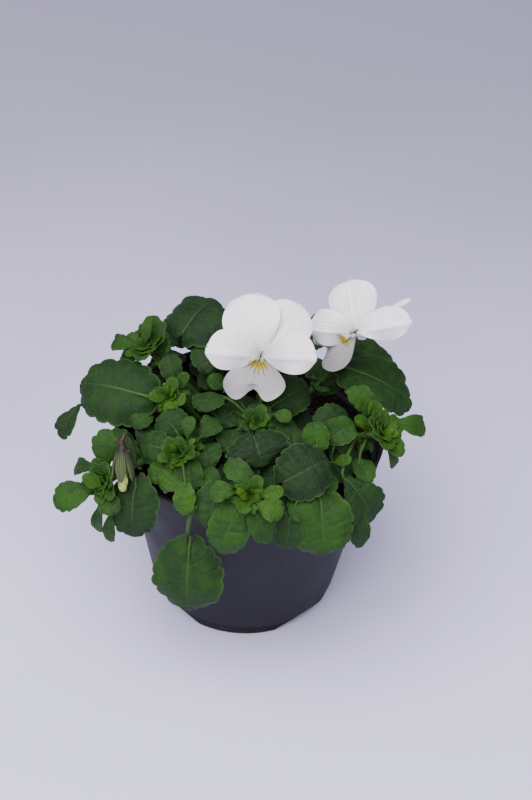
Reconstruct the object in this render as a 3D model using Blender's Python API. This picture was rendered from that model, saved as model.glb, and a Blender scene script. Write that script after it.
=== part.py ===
"""A horned viola in a nursery pot: pot, potting soil, leafy stems, two white blooms and a bud.

Sizes are in millimetres in the tables and become metres in the meshes. The origin is the middle of
the pot's underside, +Z is up, and the side that is usually looked at faces -Y.
"""
import math
from collections import namedtuple

import bmesh
import bpy
from mathutils import Matrix, Vector

MM = 0.001

# The pot, in millimetres: a thin tapered wall, a flared rim band, and a foot with drain notches.
POT_HEIGHT = 82.0
RIM_RADIUS = 54.0
RIM_HEIGHT = 9.0
RIM_FLARE = 1.6
RIM_STEP = 3.2
FOOT_RADIUS = 38.5
FOOT_CHAMFER = 2.0
FOOT_BAND_HEIGHT = 6.2
FOOT_BAND_STEP = 0.6
FOOT_EDGE = 0.8
WALL = 1.4
FLOOR = 1.6
INNER_CHAMFER = 1.4
NOTCH_COUNT = 4
NOTCH_HEIGHT = 5.0
NOTCH_RADIUS = 23.0
NOTCH_REACH = 5.0
NOTCH_TURN = 43.0
DRAIN_HOLE_REACH = 22.0
DRAIN_HOLE_RADIUS = 4.0
POT_SIDES = 36
SMOOTH_BELOW = 30.0

# The soil, in millimetres: how far it stands off the pot, and its loose, uneven top.
TOUCHING_GAP = 0.3
SOIL_TOP = 73.0
SOIL_EDGE_DROP = 2.5
SOIL_RELIEF = 0.8
SOIL_SIDES = 24
SOIL_RINGS = 5

# The stems, in millimetres. Each stands straight in its hole in the soil before it bends.
STEM_RADIUS = 1.6
STEM_TAPER = 0.3
STEM_SIDES = 6
STEM_ROOT_DEPTH = 7.0
STEM_STRAIGHT_ABOVE_SOIL = 2.5
HOLE_CLEARANCE = 0.35
HOLE_SIDES = 8
LEAF_PLACES_PER_STEP = 4

# The leaves, in millimetres: blade, the leaf's own four-sided stalk, and where the neck meets it.
BLADE_THICKNESS = 0.8
PETIOLE_HALF = 0.6
PETIOLE_ARCH = 0.16
SHORT_PETIOLE = 9.0
NECK_HALF = 0.45
NARROWEST_HALF = 0.5
LIGHT = Vector((0.0, -0.45, 1.0))
LOOK_OUTWARD = 0.35

# The outline of a blade: how many rounded teeth a side has from which width on, how deep they are,
# and for each form how the width tapers to the base, where it peaks, and how the face is arched
# along the midrib and cupped across it. A round blade is a bowed outline about a centre that lies
# a share of the length from the base, so that its two lobes reach back past the stalk.
TEETH_BY_WIDTH = ((18.0, 5), (14.0, 4), (9.5, 3), (0.0, 2))
ROUNDED_TEETH_WIDTH = 18.0
TOOTH_DEPTH = {"round": 0.10, "spoon": 0.14, "young": 0.10, "petal": 0.0}
TAPER = {"spoon": 0.75, "young": 0.25, "petal": 0.3}
PEAK = {"spoon": 1.25, "young": 1.08, "petal": 1.1}
ARCH = {"round": 0.10, "spoon": 0.12, "young": 0.06, "petal": 0.06}
CUP = {"round": -0.10, "spoon": 0.16, "young": 0.38, "petal": -0.08}
ROUND_CENTRE = 0.42
ROUND_FIRST_ANGLE = 10.0
LOWEST_ARCH_SHARE = -0.3

# The blooms, in millimetres: the petals, the short tube that carries them, and the spur.
PETAL_THICKNESS = 0.75
PETAL_START = 1.2
PETAL_TEETH = 5
FLOWER_TUBE = 4.0
FLOWER_TUBE_RADIUS = 2.4
FLOWER_MOUTH_RADIUS = 1.9
FLOWER_MOUTH_FORWARD = 0.2
FLOWER_TUBE_SIDES = 8
SPUR_DROP = 2.6
SPUR_LENGTH = 5.5
SPUR_RADII = (1.1, 1.0, 0.7)
SPUR_SIDES = 6

# The calyx behind each bloom, in millimetres, and the stalk that carries the bloom.
STALK_RADIUS = 0.85
STALK_SIDES = 5
CALYX_RAISE = 0.9
CALYX_LENGTH = 2.6
CALYX_RADII = (1.3, 1.1)
SEPAL_ANGLES = (90, 30, 150, -22, 202)
SEPAL_START = 0.6
SEPAL_LENGTH = 6.5
SEPAL_WIDTH = 2.6
SEPAL_LEAN_BACK = 1.6
SEPAL_CUP = 0.1

# Each bloom: its throat, the way it faces, how it is turned in its own plane, and its petals.
# A petal is: direction in degrees from the bloom's right, length, width, place in front of the
# throat, lean forward in degrees, roll about its length in degrees, depth of the notch in its end
# as a share of its length, and the share by which it is longer on one side than on the other.
BLOOMS = {
    "bloom_front": {
        "throat": (3, -4.5, 122),
        "facing": (-0.03, -0.80, 0.60),
        "spin": 0,
        "petals": [
            (110, 23.5, 24, -2.2, -4, 0, 0.0, 0.0),
            (54, 24, 22, -3.4, -6, 0, 0.0, 0.0),
            (176, 20.5, 17, -0.8, 5, 0, 0.0, 0.0),
            (6, 20.5, 17.5, -0.8, 5, 0, 0.0, 0.0),
            (-99, 19, 25, 0.3, 4, 0, 0.32, 0.14),
        ],
        "stem": "stem_centre",
        "stalk": [(3, -16, 97), (4, -4, 103), (4, 4, 112), (4, 4, 117)],
    },
    "bloom_right": {
        "throat": (39, 10.7, 124),
        "facing": (-0.48, -0.74, 0.47),
        "spin": 8,
        "petals": [
            (115, 20, 23, -2.2, -4, 0, 0.0, 0.0),
            (45, 24, 8, -2.6, -12, -70, 0.0, 0.0),
            (194, 18, 18, -0.8, 8, 0, 0.0, 0.0),
            (27, 22, 14, -0.8, -10, 0, 0.0, 0.0),
            (-138, 22, 21, 0.3, -6, 0, 0.3, 0.0),
        ],
        "stem": "stem_back_right",
        "stalk": [(33, 20, 98), (38, 22, 107), (43, 23, 118), (43, 20, 123)],
    },
}

# The hanging bud on the left. Its rolled petals are a row of (distance from the top, radius).
BUD_STEM = "stem_low_left"
BUD_TOP = (-46, -42, 107)
BUD_TIP = (-45, -51, 92)
BUD_STALK = [(-42, -37, 92), (-43, -34, 101), (-45, -38, 108)]
BUD_SEPALS = 5
BUD_SEPAL_LENGTH = 14.0
BUD_SEPAL_WIDTH = 4.0
BUD_SEPAL_START = 1.2
BUD_SEPAL_SPLAY = 4.2
BUD_SEPAL_CUP = -0.22
BUD_RECEPTACLE_LENGTH = 2.4
BUD_RECEPTACLE_RADII = (1.2, 1.9)
BUD_PETAL_SHAPE = ((2.7, 0.7), (5.0, 1.3), (10.0, 1.6), (14.0, 2.0), (16.8, 1.7), (18.2, 0.8))

# A leaf: the ends of its blade, its width, its form, how far it is turned about its midrib in
# degrees, and the points that its stalk passes on the way back to the stem.
Leaf = namedtuple("Leaf", "base tip width form turn via", defaults=("round", 0, None))

# Each stem: where it stands in the soil, the points it passes, and its leaves.
STEMS = {
    "stem_top_left": {
        "foot": (-12, 10),
        "path": [(-22, 13, 86), (-34, 15, 97), (-41, 15, 105)],
        "leaves": [
            Leaf((-41, 15, 106), (-40, 22, 118), 13),
            Leaf((-43, 14, 110), (-41, 16, 122), 6, "young"),
            Leaf((-46, 15, 108), (-57, 17, 106), 9, "spoon"),
            Leaf((-44, 18, 103), (-53, 27, 97), 14),
            Leaf((-38, 20, 97), (-30, 31, 93), 13),
            Leaf((-37, 14, 103), (-34, 16, 111), 7, "young"),
            Leaf((-24, 17, 84), (-35, 21, 88), 11),
            Leaf((-33, 17, 93), (-42, 27, 92), 12),
        ],
    },
    "stem_left": {
        "foot": (-15, 1),
        "path": [(-23, 0, 87), (-28, -3, 96), (-31, -8, 101)],
        "leaves": [
            Leaf((-40, -8, 101), (-68, 2, 98), 29),
            Leaf((-66, -7, 95), (-73, -17, 85), 10, "spoon", via=[(-50, -7, 94)]),
            Leaf((-36, -17, 91), (-42, -22, 88), 11),
            Leaf((-39, -13, 96), (-45, -17, 93), 9),
            Leaf((-29, 0, 99), (-33, 8, 110), 11, "spoon"),
            Leaf((-29, -4, 102), (-25, -2, 109), 6, "young"),
            Leaf((-33, -10, 103), (-39, -13, 105), 6, "young"),
            Leaf((-30, -10, 103), (-25, -12, 103), 6, "young"),
            Leaf((-31, -11, 103), (-29, -17, 101), 6, "young"),
            Leaf((-25, 2, 88), (-33, 10, 89), 12),
            Leaf((-19, -4, 84), (-26, -11, 88), 11),
        ],
    },
    "stem_low_left": {
        "foot": (-18, -13),
        "path": [(-33, -27, 88), (-44, -38, 91), (-51, -45, 90)],
        "leaves": [
            Leaf((-45, -30, 92), (-57, -20, 89), 14),
            Leaf((-52, -42, 92), (-53, -35, 107), 11, "spoon"),
            Leaf((-56, -38, 90), (-66, -32, 84), 8, "spoon"),
            Leaf((-55, -47, 88), (-71, -52, 84), 13, "spoon"),
            Leaf((-53, -49, 91), (-60, -49, 96), 6, "young"),
            Leaf((-53, -51, 86), (-46, -56, 86), 9),
            Leaf((-53, -48, 84), (-55, -50, 68), 6, "spoon"),
            Leaf((-49, -50, 82), (-50, -54, 67), 6, "spoon"),
            Leaf((-41, -47, 92), (-41, -56, 72), 20),
            Leaf((-37, -25, 85), (-42, -17, 86), 10),
            Leaf((-27, -22, 84), (-33, -14, 86), 11),
        ],
    },
    "stem_mid_left": {
        "foot": (-9, -11),
        "path": [(-15, -22, 85), (-21, -30, 92), (-25, -36, 97)],
        "leaves": [
            Leaf((-27, -24, 97), (-33, -17, 102), 14),
            Leaf((-31, -33, 97), (-41, -29, 95), 14),
            Leaf((-23, -31, 100), (-22, -25, 107), 6, "spoon"),
            Leaf((-19, -27, 97), (-12, -19, 101), 10, "spoon"),
            Leaf((-17, -28, 95), (-14, -37, 92), 13),
            Leaf((-28, -38, 99), (-31, -41, 103), 8, "young"),
            Leaf((-32, -38, 94), (-34, -45, 90), 8),
            Leaf((-22, -39, 96), (-20, -46, 88), 11),
            Leaf((-16, -40, 93), (-11, -46, 90), 9),
            Leaf((-26, -42, 93), (-31, -47, 89), 9),
            Leaf((-22, -52, 96), (-22, -58, 87), 8.5),
            Leaf((-8, -15, 82), (-3, -23, 85), 10),
            Leaf((-14, -14, 84), (-23, -16, 88), 11),
            Leaf((-20, -32, 88), (-27, -38, 86), 10),
        ],
    },
    "stem_front": {
        "foot": (-2, -19),
        "path": [(0, -36, 86), (1, -48, 92), (2, -55, 96)],
        "leaves": [
            Leaf((5, -51, 98), (-8, -46, 103), 10, "spoon"),
            Leaf((-3, -55, 97), (-13, -55, 97), 9, "spoon"),
            Leaf((6, -57, 98), (14, -55, 100), 6, "young"),
            Leaf((4, -59, 97), (14, -63, 95), 10, "spoon"),
            Leaf((1, -59, 97), (-1, -64, 96), 6, "young"),
            Leaf((4, -60, 93), (10, -64, 81), 10),
            Leaf((-3, -57, 91), (-8, -63, 73), 16),
            Leaf((-10.5, -50, 94), (-13, -59, 82), 15),
            Leaf((-20, -56, 67.5), (-20, -62, 39.5), 28, via=[(-21, -57, 80), (-15, -53, 88)]),
            Leaf((-4, -30, 84), (-10, -38, 86), 11),
            Leaf((4, -37, 88), (13, -38, 90), 11),
        ],
    },
    "stem_centre": {
        "foot": (1, -5),
        "path": [(1, -9, 86), (2, -14, 94), (3, -18, 99)],
        "leaves": [
            Leaf((2, -31, 104), (6, -39, 96), 25),
            Leaf((3, -12, 103), (4, -20, 98), 10),
            Leaf((9, -14, 101), (16, -16, 101), 6, "young"),
            Leaf((-7, -10, 97), (-12, -16, 97), 12),
            Leaf((-15, -8, 105), (-18, -18, 104), 13),
            Leaf((10, -3, 97), (22, 8, 99), 17),
            Leaf((-6, -18, 95), (-7, -28, 92), 12),
            Leaf((-4, -13, 94), (-5, -1, 98), 12),
            Leaf((9, -20, 94), (14, -8, 97), 14),
            Leaf((-10, -4, 104), (-17, -2, 108), 7, "young"),
            Leaf((0, 3, 84), (-5, 12, 88), 10),
            Leaf((-3, -6, 84), (-12, 0, 87), 11),
        ],
    },
    "stem_mid_right": {
        "foot": (10, -15),
        "path": [(17, -28, 87), (21, -38, 93), (24, -44, 95)],
        "leaves": [
            Leaf((14, -48, 97), (30, -40, 103), 22),
            Leaf((27, -12, 95), (38, -5, 96), 13),
            Leaf((33, -31, 93), (39, -33, 97), 5, "young"),
            Leaf((29, -37, 92), (32, -45, 89), 8),
            Leaf((18, -27, 94), (16, -15, 97), 13),
            Leaf((26, -30, 98), (24, -22, 105), 11),
            Leaf((31, -24, 99), (40, -18, 102), 11),
            Leaf((19, -49, 91), (24, -56, 85), 11),
            Leaf((28, -50, 91), (30, -59, 71), 25),
            Leaf((17, -56, 87), (16, -60, 74), 11),
            Leaf((14, -45, 88), (15, -54, 84), 10),
            Leaf((20, -23, 84), (28, -19, 87), 10),
        ],
    },
    "stem_right": {
        "foot": (18, -6),
        "path": [(31, -11, 87), (42, -14, 92), (49, -16, 95)],
        "leaves": [
            Leaf((47, -10, 98), (38, -4, 108), 12, "spoon"),
            Leaf((48, -12, 99), (47, -10, 107), 7, "young"),
            Leaf((52, -15, 97), (59, -15, 94), 8),
            Leaf((54, -11, 97), (69, -8, 92), 10, "spoon"),
            Leaf((53, -20, 93), (57, -21, 83), 6, "spoon"),
            Leaf((36, -36, 92), (49, -42, 74), 20, "spoon"),
            Leaf((43, -28, 92), (46, -37, 88), 9),
            Leaf((41, -44, 81), (45, -49, 66), 9),
            Leaf((50, -19, 97), (47, -25, 102), 6, "young"),
            Leaf((45, -14, 95), (41, -11, 100), 6, "young"),
            Leaf((18, -2, 84), (22, 8, 86), 10),
            Leaf((33, -7, 86), (42, -1, 86), 11),
            Leaf((34, -15, 86), (41, -22, 84), 11),
            Leaf((33, -22, 85), (37, -32, 84), 12),
        ],
    },
    "stem_back_left": {
        "foot": (-5, 16),
        "path": [(-12, 22, 86), (-19, 24, 96), (-24, 24, 104)],
        "leaves": [
            Leaf((-29, 20, 111), (-17, 36, 118), 30),
            Leaf((-19, 16, 96), (-14, 10, 92), 11),
            Leaf((-20, 19, 109), (-17, 6, 103), 13),
            Leaf((-24, 33, 100), (-38, 46, 96), 20),
            Leaf((-15, 33, 98), (-14, 52, 94), 18),
            Leaf((-9, 14, 82), (-14, 4, 86), 10),
            Leaf((-16, 26, 88), (-26, 32, 88), 12),
            Leaf((-13, 27, 86), (-16, 39, 88), 12),
        ],
    },
    "stem_back_right": {
        "foot": (14, 12),
        "path": [(22, 16, 86), (29, 19, 93), (33, 20, 99)],
        "leaves": [
            Leaf((38, 18, 100), (65, 11, 88), 25),
            Leaf((38, 30, 101), (46, 30, 104), 9),
            Leaf((40, 32, 94), (58, 42, 88), 20),
            Leaf((26, 10, 96), (27, 3, 100), 8),
            Leaf((24, 24, 92), (22, 38, 90), 13),
            Leaf((26, 19, 88), (36, 26, 88), 12),
        ],
    },
    "stem_back": {
        "foot": (3, 24),
        "path": [(5, 33, 86), (7, 41, 93), (8, 47, 98)],
        "leaves": [
            Leaf((12, 48, 98), (26, 58, 92), 18),
            Leaf((2, 52, 97), (-5, 66, 88), 19),
            Leaf((10, 54, 94), (14, 68, 82), 15),
            Leaf((8, 42, 101), (3, 34, 108), 10, "spoon"),
            Leaf((16, 40, 97), (30, 40, 97), 14),
            Leaf((23, 29, 113), (24, 29, 118), 3, "young"),
            Leaf((-2, 36, 92), (-8, 26, 94), 12),
            Leaf((3, 30, 84), (-6, 36, 88), 11),
            Leaf((8, 36, 86), (14, 44, 88), 10),
        ],
    },
}


def metres(point):
    """A point in millimetres as a vector in metres."""
    return Vector(point) * MM


def material(name, colour, roughness):
    """A plain Principled material."""
    made = bpy.data.materials.new(name)
    made.use_nodes = True
    shader = made.node_tree.nodes["Principled BSDF"]
    shader.inputs["Base Color"].default_value = (*colour, 1.0)
    shader.inputs["Roughness"].default_value = roughness
    made.diffuse_color = (*colour, 1.0)
    return made


def object_from(name, vertices, faces, finish=None):
    """An object made from points in metres and faces."""
    mesh = bpy.data.meshes.new(name)
    mesh.from_pydata([tuple(v) for v in vertices], [], faces)
    if finish:
        mesh.materials.append(finish)
    made = bpy.data.objects.new(name, mesh)
    bpy.context.scene.collection.objects.link(made)
    return made


def turned(name, profile, sides, finish=None):
    """A closed body turned from an outline of (radius, height) that starts and ends on the axis."""
    vertices = []
    rings = []
    for radius, height in profile:
        if radius == 0.0:
            rings.append([len(vertices)] * sides)
            vertices.append(metres((0.0, 0.0, height)))
            continue
        rings.append([len(vertices) + k for k in range(sides)])
        for k in range(sides):
            angle = math.tau * k / sides
            vertices.append(metres((radius * math.cos(angle), radius * math.sin(angle), height)))
    faces = []
    for lower, upper in zip(rings, rings[1:]):
        for k in range(sides):
            after = (k + 1) % sides
            corners = []
            for corner in (lower[k], lower[after], upper[after], upper[k]):
                if corner not in corners:
                    corners.append(corner)
            faces.append(corners)
    return object_from(name, vertices, faces, finish)


def evaluated_mesh(obj):
    """The mesh with its modifiers applied."""
    bpy.context.view_layer.update()
    graph = bpy.context.evaluated_depsgraph_get()
    return bpy.data.meshes.new_from_object(obj.evaluated_get(graph))


def apply_modifiers(obj):
    """Puts the evaluated mesh on the object in place of its modifiers."""
    finished = evaluated_mesh(obj)
    obj.modifiers.clear()
    obj.data = finished


def boolean(obj, others, operation, solver="EXACT"):
    """One Boolean of an object with a collection, applied, with the collection's objects removed."""
    group = bpy.data.collections.new(obj.name + "_" + operation.lower())
    bpy.context.scene.collection.children.link(group)
    for other in others:
        bpy.context.scene.collection.objects.unlink(other)
        group.objects.link(other)
    modifier = obj.modifiers.new(operation.lower(), "BOOLEAN")
    modifier.operation = operation
    modifier.operand_type = "COLLECTION"
    modifier.collection = group
    modifier.solver = solver
    apply_modifiers(obj)
    for other in others:
        bpy.data.objects.remove(other)
    bpy.data.collections.remove(group)


def keep_main_body(obj):
    """Drops the sealed hollows and loose scraps that a union can leave."""
    mesh = bmesh.new()
    mesh.from_mesh(obj.data)
    bmesh.ops.triangulate(mesh, faces=mesh.faces[:])
    left = set(mesh.faces)
    bodies = []
    while left:
        body = {left.pop()}
        edge_of_search = list(body)
        while edge_of_search:
            face = edge_of_search.pop()
            for edge in face.edges:
                for neighbour in edge.link_faces:
                    if neighbour in left:
                        left.remove(neighbour)
                        body.add(neighbour)
                        edge_of_search.append(neighbour)
        bodies.append(body)
    main = max(bodies, key=signed_volume)
    scraps = [face for body in bodies if body is not main for face in body]
    bmesh.ops.delete(mesh, geom=scraps, context="FACES")
    mesh.to_mesh(obj.data)
    mesh.free()


def signed_volume(faces):
    """The volume inside a set of triangles, negative where they face inwards."""
    return sum(f.verts[0].co.dot(f.verts[1].co.cross(f.verts[2].co)) for f in faces) / 6.0


def tube(name, points, radii, sides, finish=None):
    """A closed tube along points in metres, with a radius in metres at each."""
    vertices = []
    across = None
    for k, point in enumerate(points):
        ahead = points[min(k + 1, len(points) - 1)] - points[max(k - 1, 0)]
        ahead.normalize()
        if across is None:
            across = ahead.orthogonal().normalized()
        across = (across - ahead * across.dot(ahead)).normalized()
        other = ahead.cross(across)
        for s in range(sides):
            angle = math.tau * s / sides
            vertices.append(point + (across * math.cos(angle) + other * math.sin(angle)) * radii[k])
    faces = [list(range(sides - 1, -1, -1))]
    for k in range(len(points) - 1):
        for s in range(sides):
            after = (s + 1) % sides
            low = k * sides
            high = low + sides
            faces.append([low + s, low + after, high + after, high + s])
    last = (len(points) - 1) * sides
    faces.append([last + s for s in range(sides)])
    return object_from(name, vertices, faces, finish)


def smooth_path(points, steps):
    """Points along a smooth curve through the given points."""
    result = []
    count = len(points)
    for k in range(count - 1):
        before = points[max(k - 1, 0)]
        start = points[k]
        end = points[k + 1]
        beyond = points[min(k + 2, count - 1)]
        for step in range(steps):
            t = step / steps
            result.append(
                0.5 * (2 * start + (end - before) * t
                       + (2 * before - 5 * start + 4 * end - beyond) * t * t
                       + (3 * start - before - 3 * end + beyond) * t * t * t))
    result.append(points[-1].copy())
    return result


def outline(form, length, width, teeth):
    """One side of a blade from base to tip, as (along, across) pairs with rounded teeth."""
    half = width / 2.0
    cycle = 3 if width >= ROUNDED_TEETH_WIDTH and form != "petal" else 2
    side = []
    for k in range(1, cycle * teeth):
        s = k / (cycle * teeth)
        depth = TOOTH_DEPTH[form] if k % cycle == 0 else 0.0
        if form == "round":
            first = math.radians(ROUND_FIRST_ANGLE)
            angle = first + (math.pi - first) * s
            reach = (1.0 - ROUND_CENTRE) * length
            along = ROUND_CENTRE * length - reach * math.cos(angle) * (1.0 - depth)
            across = half * math.sin(angle) * (1.0 - depth)
        else:
            angle = math.pi * s
            share = 0.5 - 0.5 * math.cos(angle)
            along = length * (share + depth * 0.5 * math.cos(angle))
            across = half * math.sin(angle) * share ** TAPER[form] * PEAK[form] * (1.0 - depth)
        side.append((along, max(across, NARROWEST_HALF)))
    return side


def fix_normals(obj):
    """Turns all faces of a closed mesh outwards."""
    mesh = bmesh.new()
    mesh.from_mesh(obj.data)
    bmesh.ops.recalc_face_normals(mesh, faces=mesh.faces[:])
    mesh.to_mesh(obj.data)
    mesh.free()


def strip(inner, edge):
    """Triangles between the midrib and one edge, which both end at the tip."""
    triangles = []
    i = 0
    j = 0
    while i < len(inner) - 1 or j < len(edge) - 1:
        next_inner = (i + 2) / len(inner)
        next_edge = (j + 1) / (len(edge) - 1)
        if j == len(edge) - 1 or (i < len(inner) - 1 and next_inner < next_edge):
            triangle = [inner[i], inner[i + 1], edge[j]]
            i += 1
        else:
            triangle = [inner[i], edge[j + 1], edge[j]]
            j += 1
        if len(set(triangle)) == 3:
            triangles.append(triangle)
    return triangles


def blade(name, base, tip, width, form, facing, stalk=(), thickness=BLADE_THICKNESS, teeth=None,
          cup=None, notch=0.0, skew=0.0):
    """A thin closed leaf or petal from base to tip, in metres, with its own stalk if it has one."""
    along_axis = tip - base
    length = along_axis.length / MM
    along_axis.normalize()
    face = (facing - along_axis * facing.dot(along_axis)).normalized()
    across_axis = along_axis.cross(face)
    teeth = teeth or next(count for least, count in TEETH_BY_WIDTH if width >= least)
    cup = CUP[form] if cup is None else cup

    def place(along, across):
        along *= 1.0 + skew * 2.0 * across / width
        share = min(max(along / length, LOWEST_ARCH_SHARE), 1.0)
        rise = 4.0 * ARCH[form] * length * share * (1.0 - share)
        rise += cup * 2.0 * across * across / width
        return base + (along_axis * along + across_axis * across + face * rise) * MM

    inner = list(range(teeth))
    flat = [(length * (1.0 - notch) * (k + 1) / teeth, 0.0) for k in inner]
    right = []
    left = []
    for along, across in [(0.0, NECK_HALF)] + outline(form, length, width, teeth):
        right.append(len(flat))
        flat.append((along, across))
        left.append(len(flat))
        flat.append((along, -across))
    tip_corner = inner[-1]
    top = strip(inner, right + [tip_corner]) + strip(inner, left + [tip_corner])
    top.append([inner[0], right[0], left[0]])
    count = len(flat)
    vertices = [place(*point) for point in flat]
    vertices += [point - face * thickness * MM for point in vertices]
    faces = top + [[corner + count for corner in triangle] for triangle in top]
    rim = right + [tip_corner] + left[::-1]
    for corner, after in zip(rim, rim[1:]):
        faces.append([corner, after, after + count])
        faces.append([corner, after + count, corner + count])
    ring = [right[0], left[0], left[0] + count, right[0] + count]
    across = across_axis
    reached = base
    for point in stalk:
        ahead = (point - reached).normalized()
        across = (across - ahead * across.dot(ahead)).normalized()
        other = across.cross(ahead)
        following = []
        for side, level in ((1, 1), (-1, 1), (-1, -1), (1, -1)):
            following.append(len(vertices))
            vertices.append(point + (across * side - other * level) * PETIOLE_HALF * MM)
        for k in range(4):
            faces.append([ring[k], ring[(k + 1) % 4], following[(k + 1) % 4], following[k]])
        ring = following
        reached = point
    faces.append(ring)
    made = object_from(name, vertices, faces)
    fix_normals(made)
    return made


def facing_of(base, tip, turn):
    """The way that a leaf faces: towards the light and a little outwards, turned about its midrib."""
    outward = Vector((base.x, base.y, 0.0))
    if outward.length > 0.0:
        outward.normalize()
    facing = LIGHT + outward * LOOK_OUTWARD
    return Matrix.Rotation(math.radians(turn), 3, (tip - base).normalized()) @ facing


def stalk_points(leaf, base, start):
    """The points of a leaf's own stalk, from the blade back to the middle of the stem."""
    if leaf.via:
        return [metres(point) for point in leaf.via] + [start]
    reach = (base - start).length
    if reach < SHORT_PETIOLE * MM:
        return [start]
    return [start.lerp(base, 0.5) + Vector((0.0, 0.0, PETIOLE_ARCH * reach)), start]


def leafy_stem(name, plan, finish, extras=()):
    """A stem with its leaves and flower stalks, all joined in one body."""
    foot_x, foot_y = plan["foot"]
    root = metres((foot_x, foot_y, SOIL_TOP - STEM_ROOT_DEPTH))
    collar = metres((foot_x, foot_y, SOIL_TOP + STEM_STRAIGHT_ABOVE_SOIL))
    route = [root] + smooth_path([collar] + [metres(p) for p in plan["path"]], 2)
    last = len(route) - 1
    radii = [STEM_RADIUS * MM * (1.0 - STEM_TAPER * k / last) for k in range(last + 1)]
    stem = tube(name, route, radii, STEM_SIDES, finish)
    parts = list(extras)
    nodes = []
    for here, ahead in zip(route[1:], route[2:]):
        nodes += [here.lerp(ahead, k / LEAF_PLACES_PER_STEP) for k in range(LEAF_PLACES_PER_STEP)]
    for k, leaf in enumerate(plan["leaves"]):
        base = metres(leaf.base)
        tip = metres(leaf.tip)
        facing = facing_of(base, tip, leaf.turn)
        start = min(nodes, key=lambda p: (p - base).length)
        if len(nodes) > len(plan["leaves"]):
            nodes.remove(start)
        parts.append(blade(f"{name}_leaf_{k}", base, tip, leaf.width, leaf.form, facing,
                           stalk_points(leaf, base, start)))
    # The exact solver leaves open edges where many thin stalks meet in one stem.
    boolean(stem, parts, "UNION", "MANIFOLD")
    keep_main_body(stem)
    return stem


def flower_frame(plan):
    """The throat, and the right, up and facing directions of a bloom, in metres."""
    facing = Vector(plan["facing"]).normalized()
    side = Vector((0.0, 0.0, 1.0)).cross(facing).normalized()
    up = facing.cross(side)
    spin = Matrix.Rotation(math.radians(plan["spin"]), 3, facing)
    return metres(plan["throat"]), spin @ side, spin @ up, facing


def in_flower(frame, across, height, forward):
    """A point given in millimetres across, up and in front of the throat of a bloom."""
    throat, side, up, facing = frame
    return throat + (side * across + up * height + facing * forward) * MM


def petals(name, plan, finish):
    """Five overlapping petals on the flower's short tube, with the spur behind."""
    frame = flower_frame(plan)
    throat, side, up, facing = frame
    mouth = in_flower(frame, 0, 0, FLOWER_MOUTH_FORWARD)
    tube_end = in_flower(frame, 0, 0, -FLOWER_TUBE)
    tube_radii = [FLOWER_MOUTH_RADIUS * MM, FLOWER_TUBE_RADIUS * MM]
    body = tube(name, [mouth, tube_end], tube_radii, FLOWER_TUBE_SIDES, finish)
    parts = []
    for k, (angle, length, width, layer, lean, roll, notch, skew) in enumerate(plan["petals"]):
        turn = math.radians(angle)
        tilt = math.radians(lean)
        out_across, out_up = math.cos(turn), math.sin(turn)
        base = in_flower(frame, PETAL_START * out_across, PETAL_START * out_up, layer)
        direction = (side * out_across + up * out_up) * math.cos(tilt) + facing * math.sin(tilt)
        tip = base + direction * (length - PETAL_START) * MM
        front = Matrix.Rotation(math.radians(roll), 3, direction) @ facing
        parts.append(blade(f"{name}_petal_{k}", base, tip, width, "petal", front,
                           thickness=PETAL_THICKNESS, teeth=PETAL_TEETH, notch=notch,
                           skew=skew))
    spur = [in_flower(frame, 0, -SPUR_DROP * 0.6, -FLOWER_TUBE + 1.0),
            in_flower(frame, 0, -SPUR_DROP, -FLOWER_TUBE - 1.0),
            in_flower(frame, 0, -SPUR_DROP * 1.2, -FLOWER_TUBE - SPUR_LENGTH)]
    parts.append(tube(name + "_spur", spur, [radius * MM for radius in SPUR_RADII], SPUR_SIDES))
    boolean(body, parts, "UNION")
    keep_main_body(body)
    return body


def calyx_and_stalk(name, plan):
    """The green sepals behind a bloom and the stalk that carries it."""
    frame = flower_frame(plan)
    throat, side, up, facing = frame
    seat = -FLOWER_TUBE - TOUCHING_GAP
    front = in_flower(frame, 0, CALYX_RAISE, seat)
    back = in_flower(frame, 0, CALYX_RAISE, seat - CALYX_LENGTH)
    radii = [radius * MM for radius in CALYX_RADII]
    parts = [tube(name + "_calyx", [front, back], radii, FLOWER_TUBE_SIDES)]
    for k, angle in enumerate(SEPAL_ANGLES):
        turn = math.radians(angle)
        out = side * math.cos(turn) + up * math.sin(turn)
        middle = in_flower(frame, 0, CALYX_RAISE, seat - 1.0)
        base = middle + out * SEPAL_START * MM
        tip = middle + (out * SEPAL_LENGTH - facing * SEPAL_LEAN_BACK) * MM
        parts.append(blade(f"{name}_sepal_{k}", base, tip, SEPAL_WIDTH, "young", facing,
                           cup=SEPAL_CUP))
    points = [metres(p) for p in plan["stalk"]]
    route = smooth_path(points + [back, (front + back) / 2], 2)
    parts.append(tube(name + "_stalk", route, [STALK_RADIUS * MM] * len(route), STALK_SIDES))
    return parts


def bud_frame():
    """The top of the hanging bud and the direction that it points in."""
    top = metres(BUD_TOP)
    return top, (metres(BUD_TIP) - top).normalized()


def bud_calyx():
    """The bud's stalk and its five sepals, which sheathe the rolled petals."""
    top, down = bud_frame()
    first_side = down.orthogonal().normalized()
    middle = top + down * BUD_RECEPTACLE_LENGTH * 0.5 * MM
    end = top + down * BUD_RECEPTACLE_LENGTH * MM
    radii = [radius * MM for radius in BUD_RECEPTACLE_RADII]
    parts = [tube("bud_receptacle", [top, end], radii, FLOWER_TUBE_SIDES)]
    for k in range(BUD_SEPALS):
        out = Matrix.Rotation(math.tau * k / BUD_SEPALS, 3, down) @ first_side
        base = middle + out * BUD_SEPAL_START * MM
        tip = top + (down * BUD_SEPAL_LENGTH + out * BUD_SEPAL_SPLAY) * MM
        parts.append(blade(f"bud_sepal_{k}", base, tip, BUD_SEPAL_WIDTH, "young", out,
                           cup=BUD_SEPAL_CUP))
    route = smooth_path([metres(p) for p in BUD_STALK] + [top, middle], 2)
    parts.append(tube("bud_stalk", route, [STALK_RADIUS * MM] * len(route), STALK_SIDES))
    return parts


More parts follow.
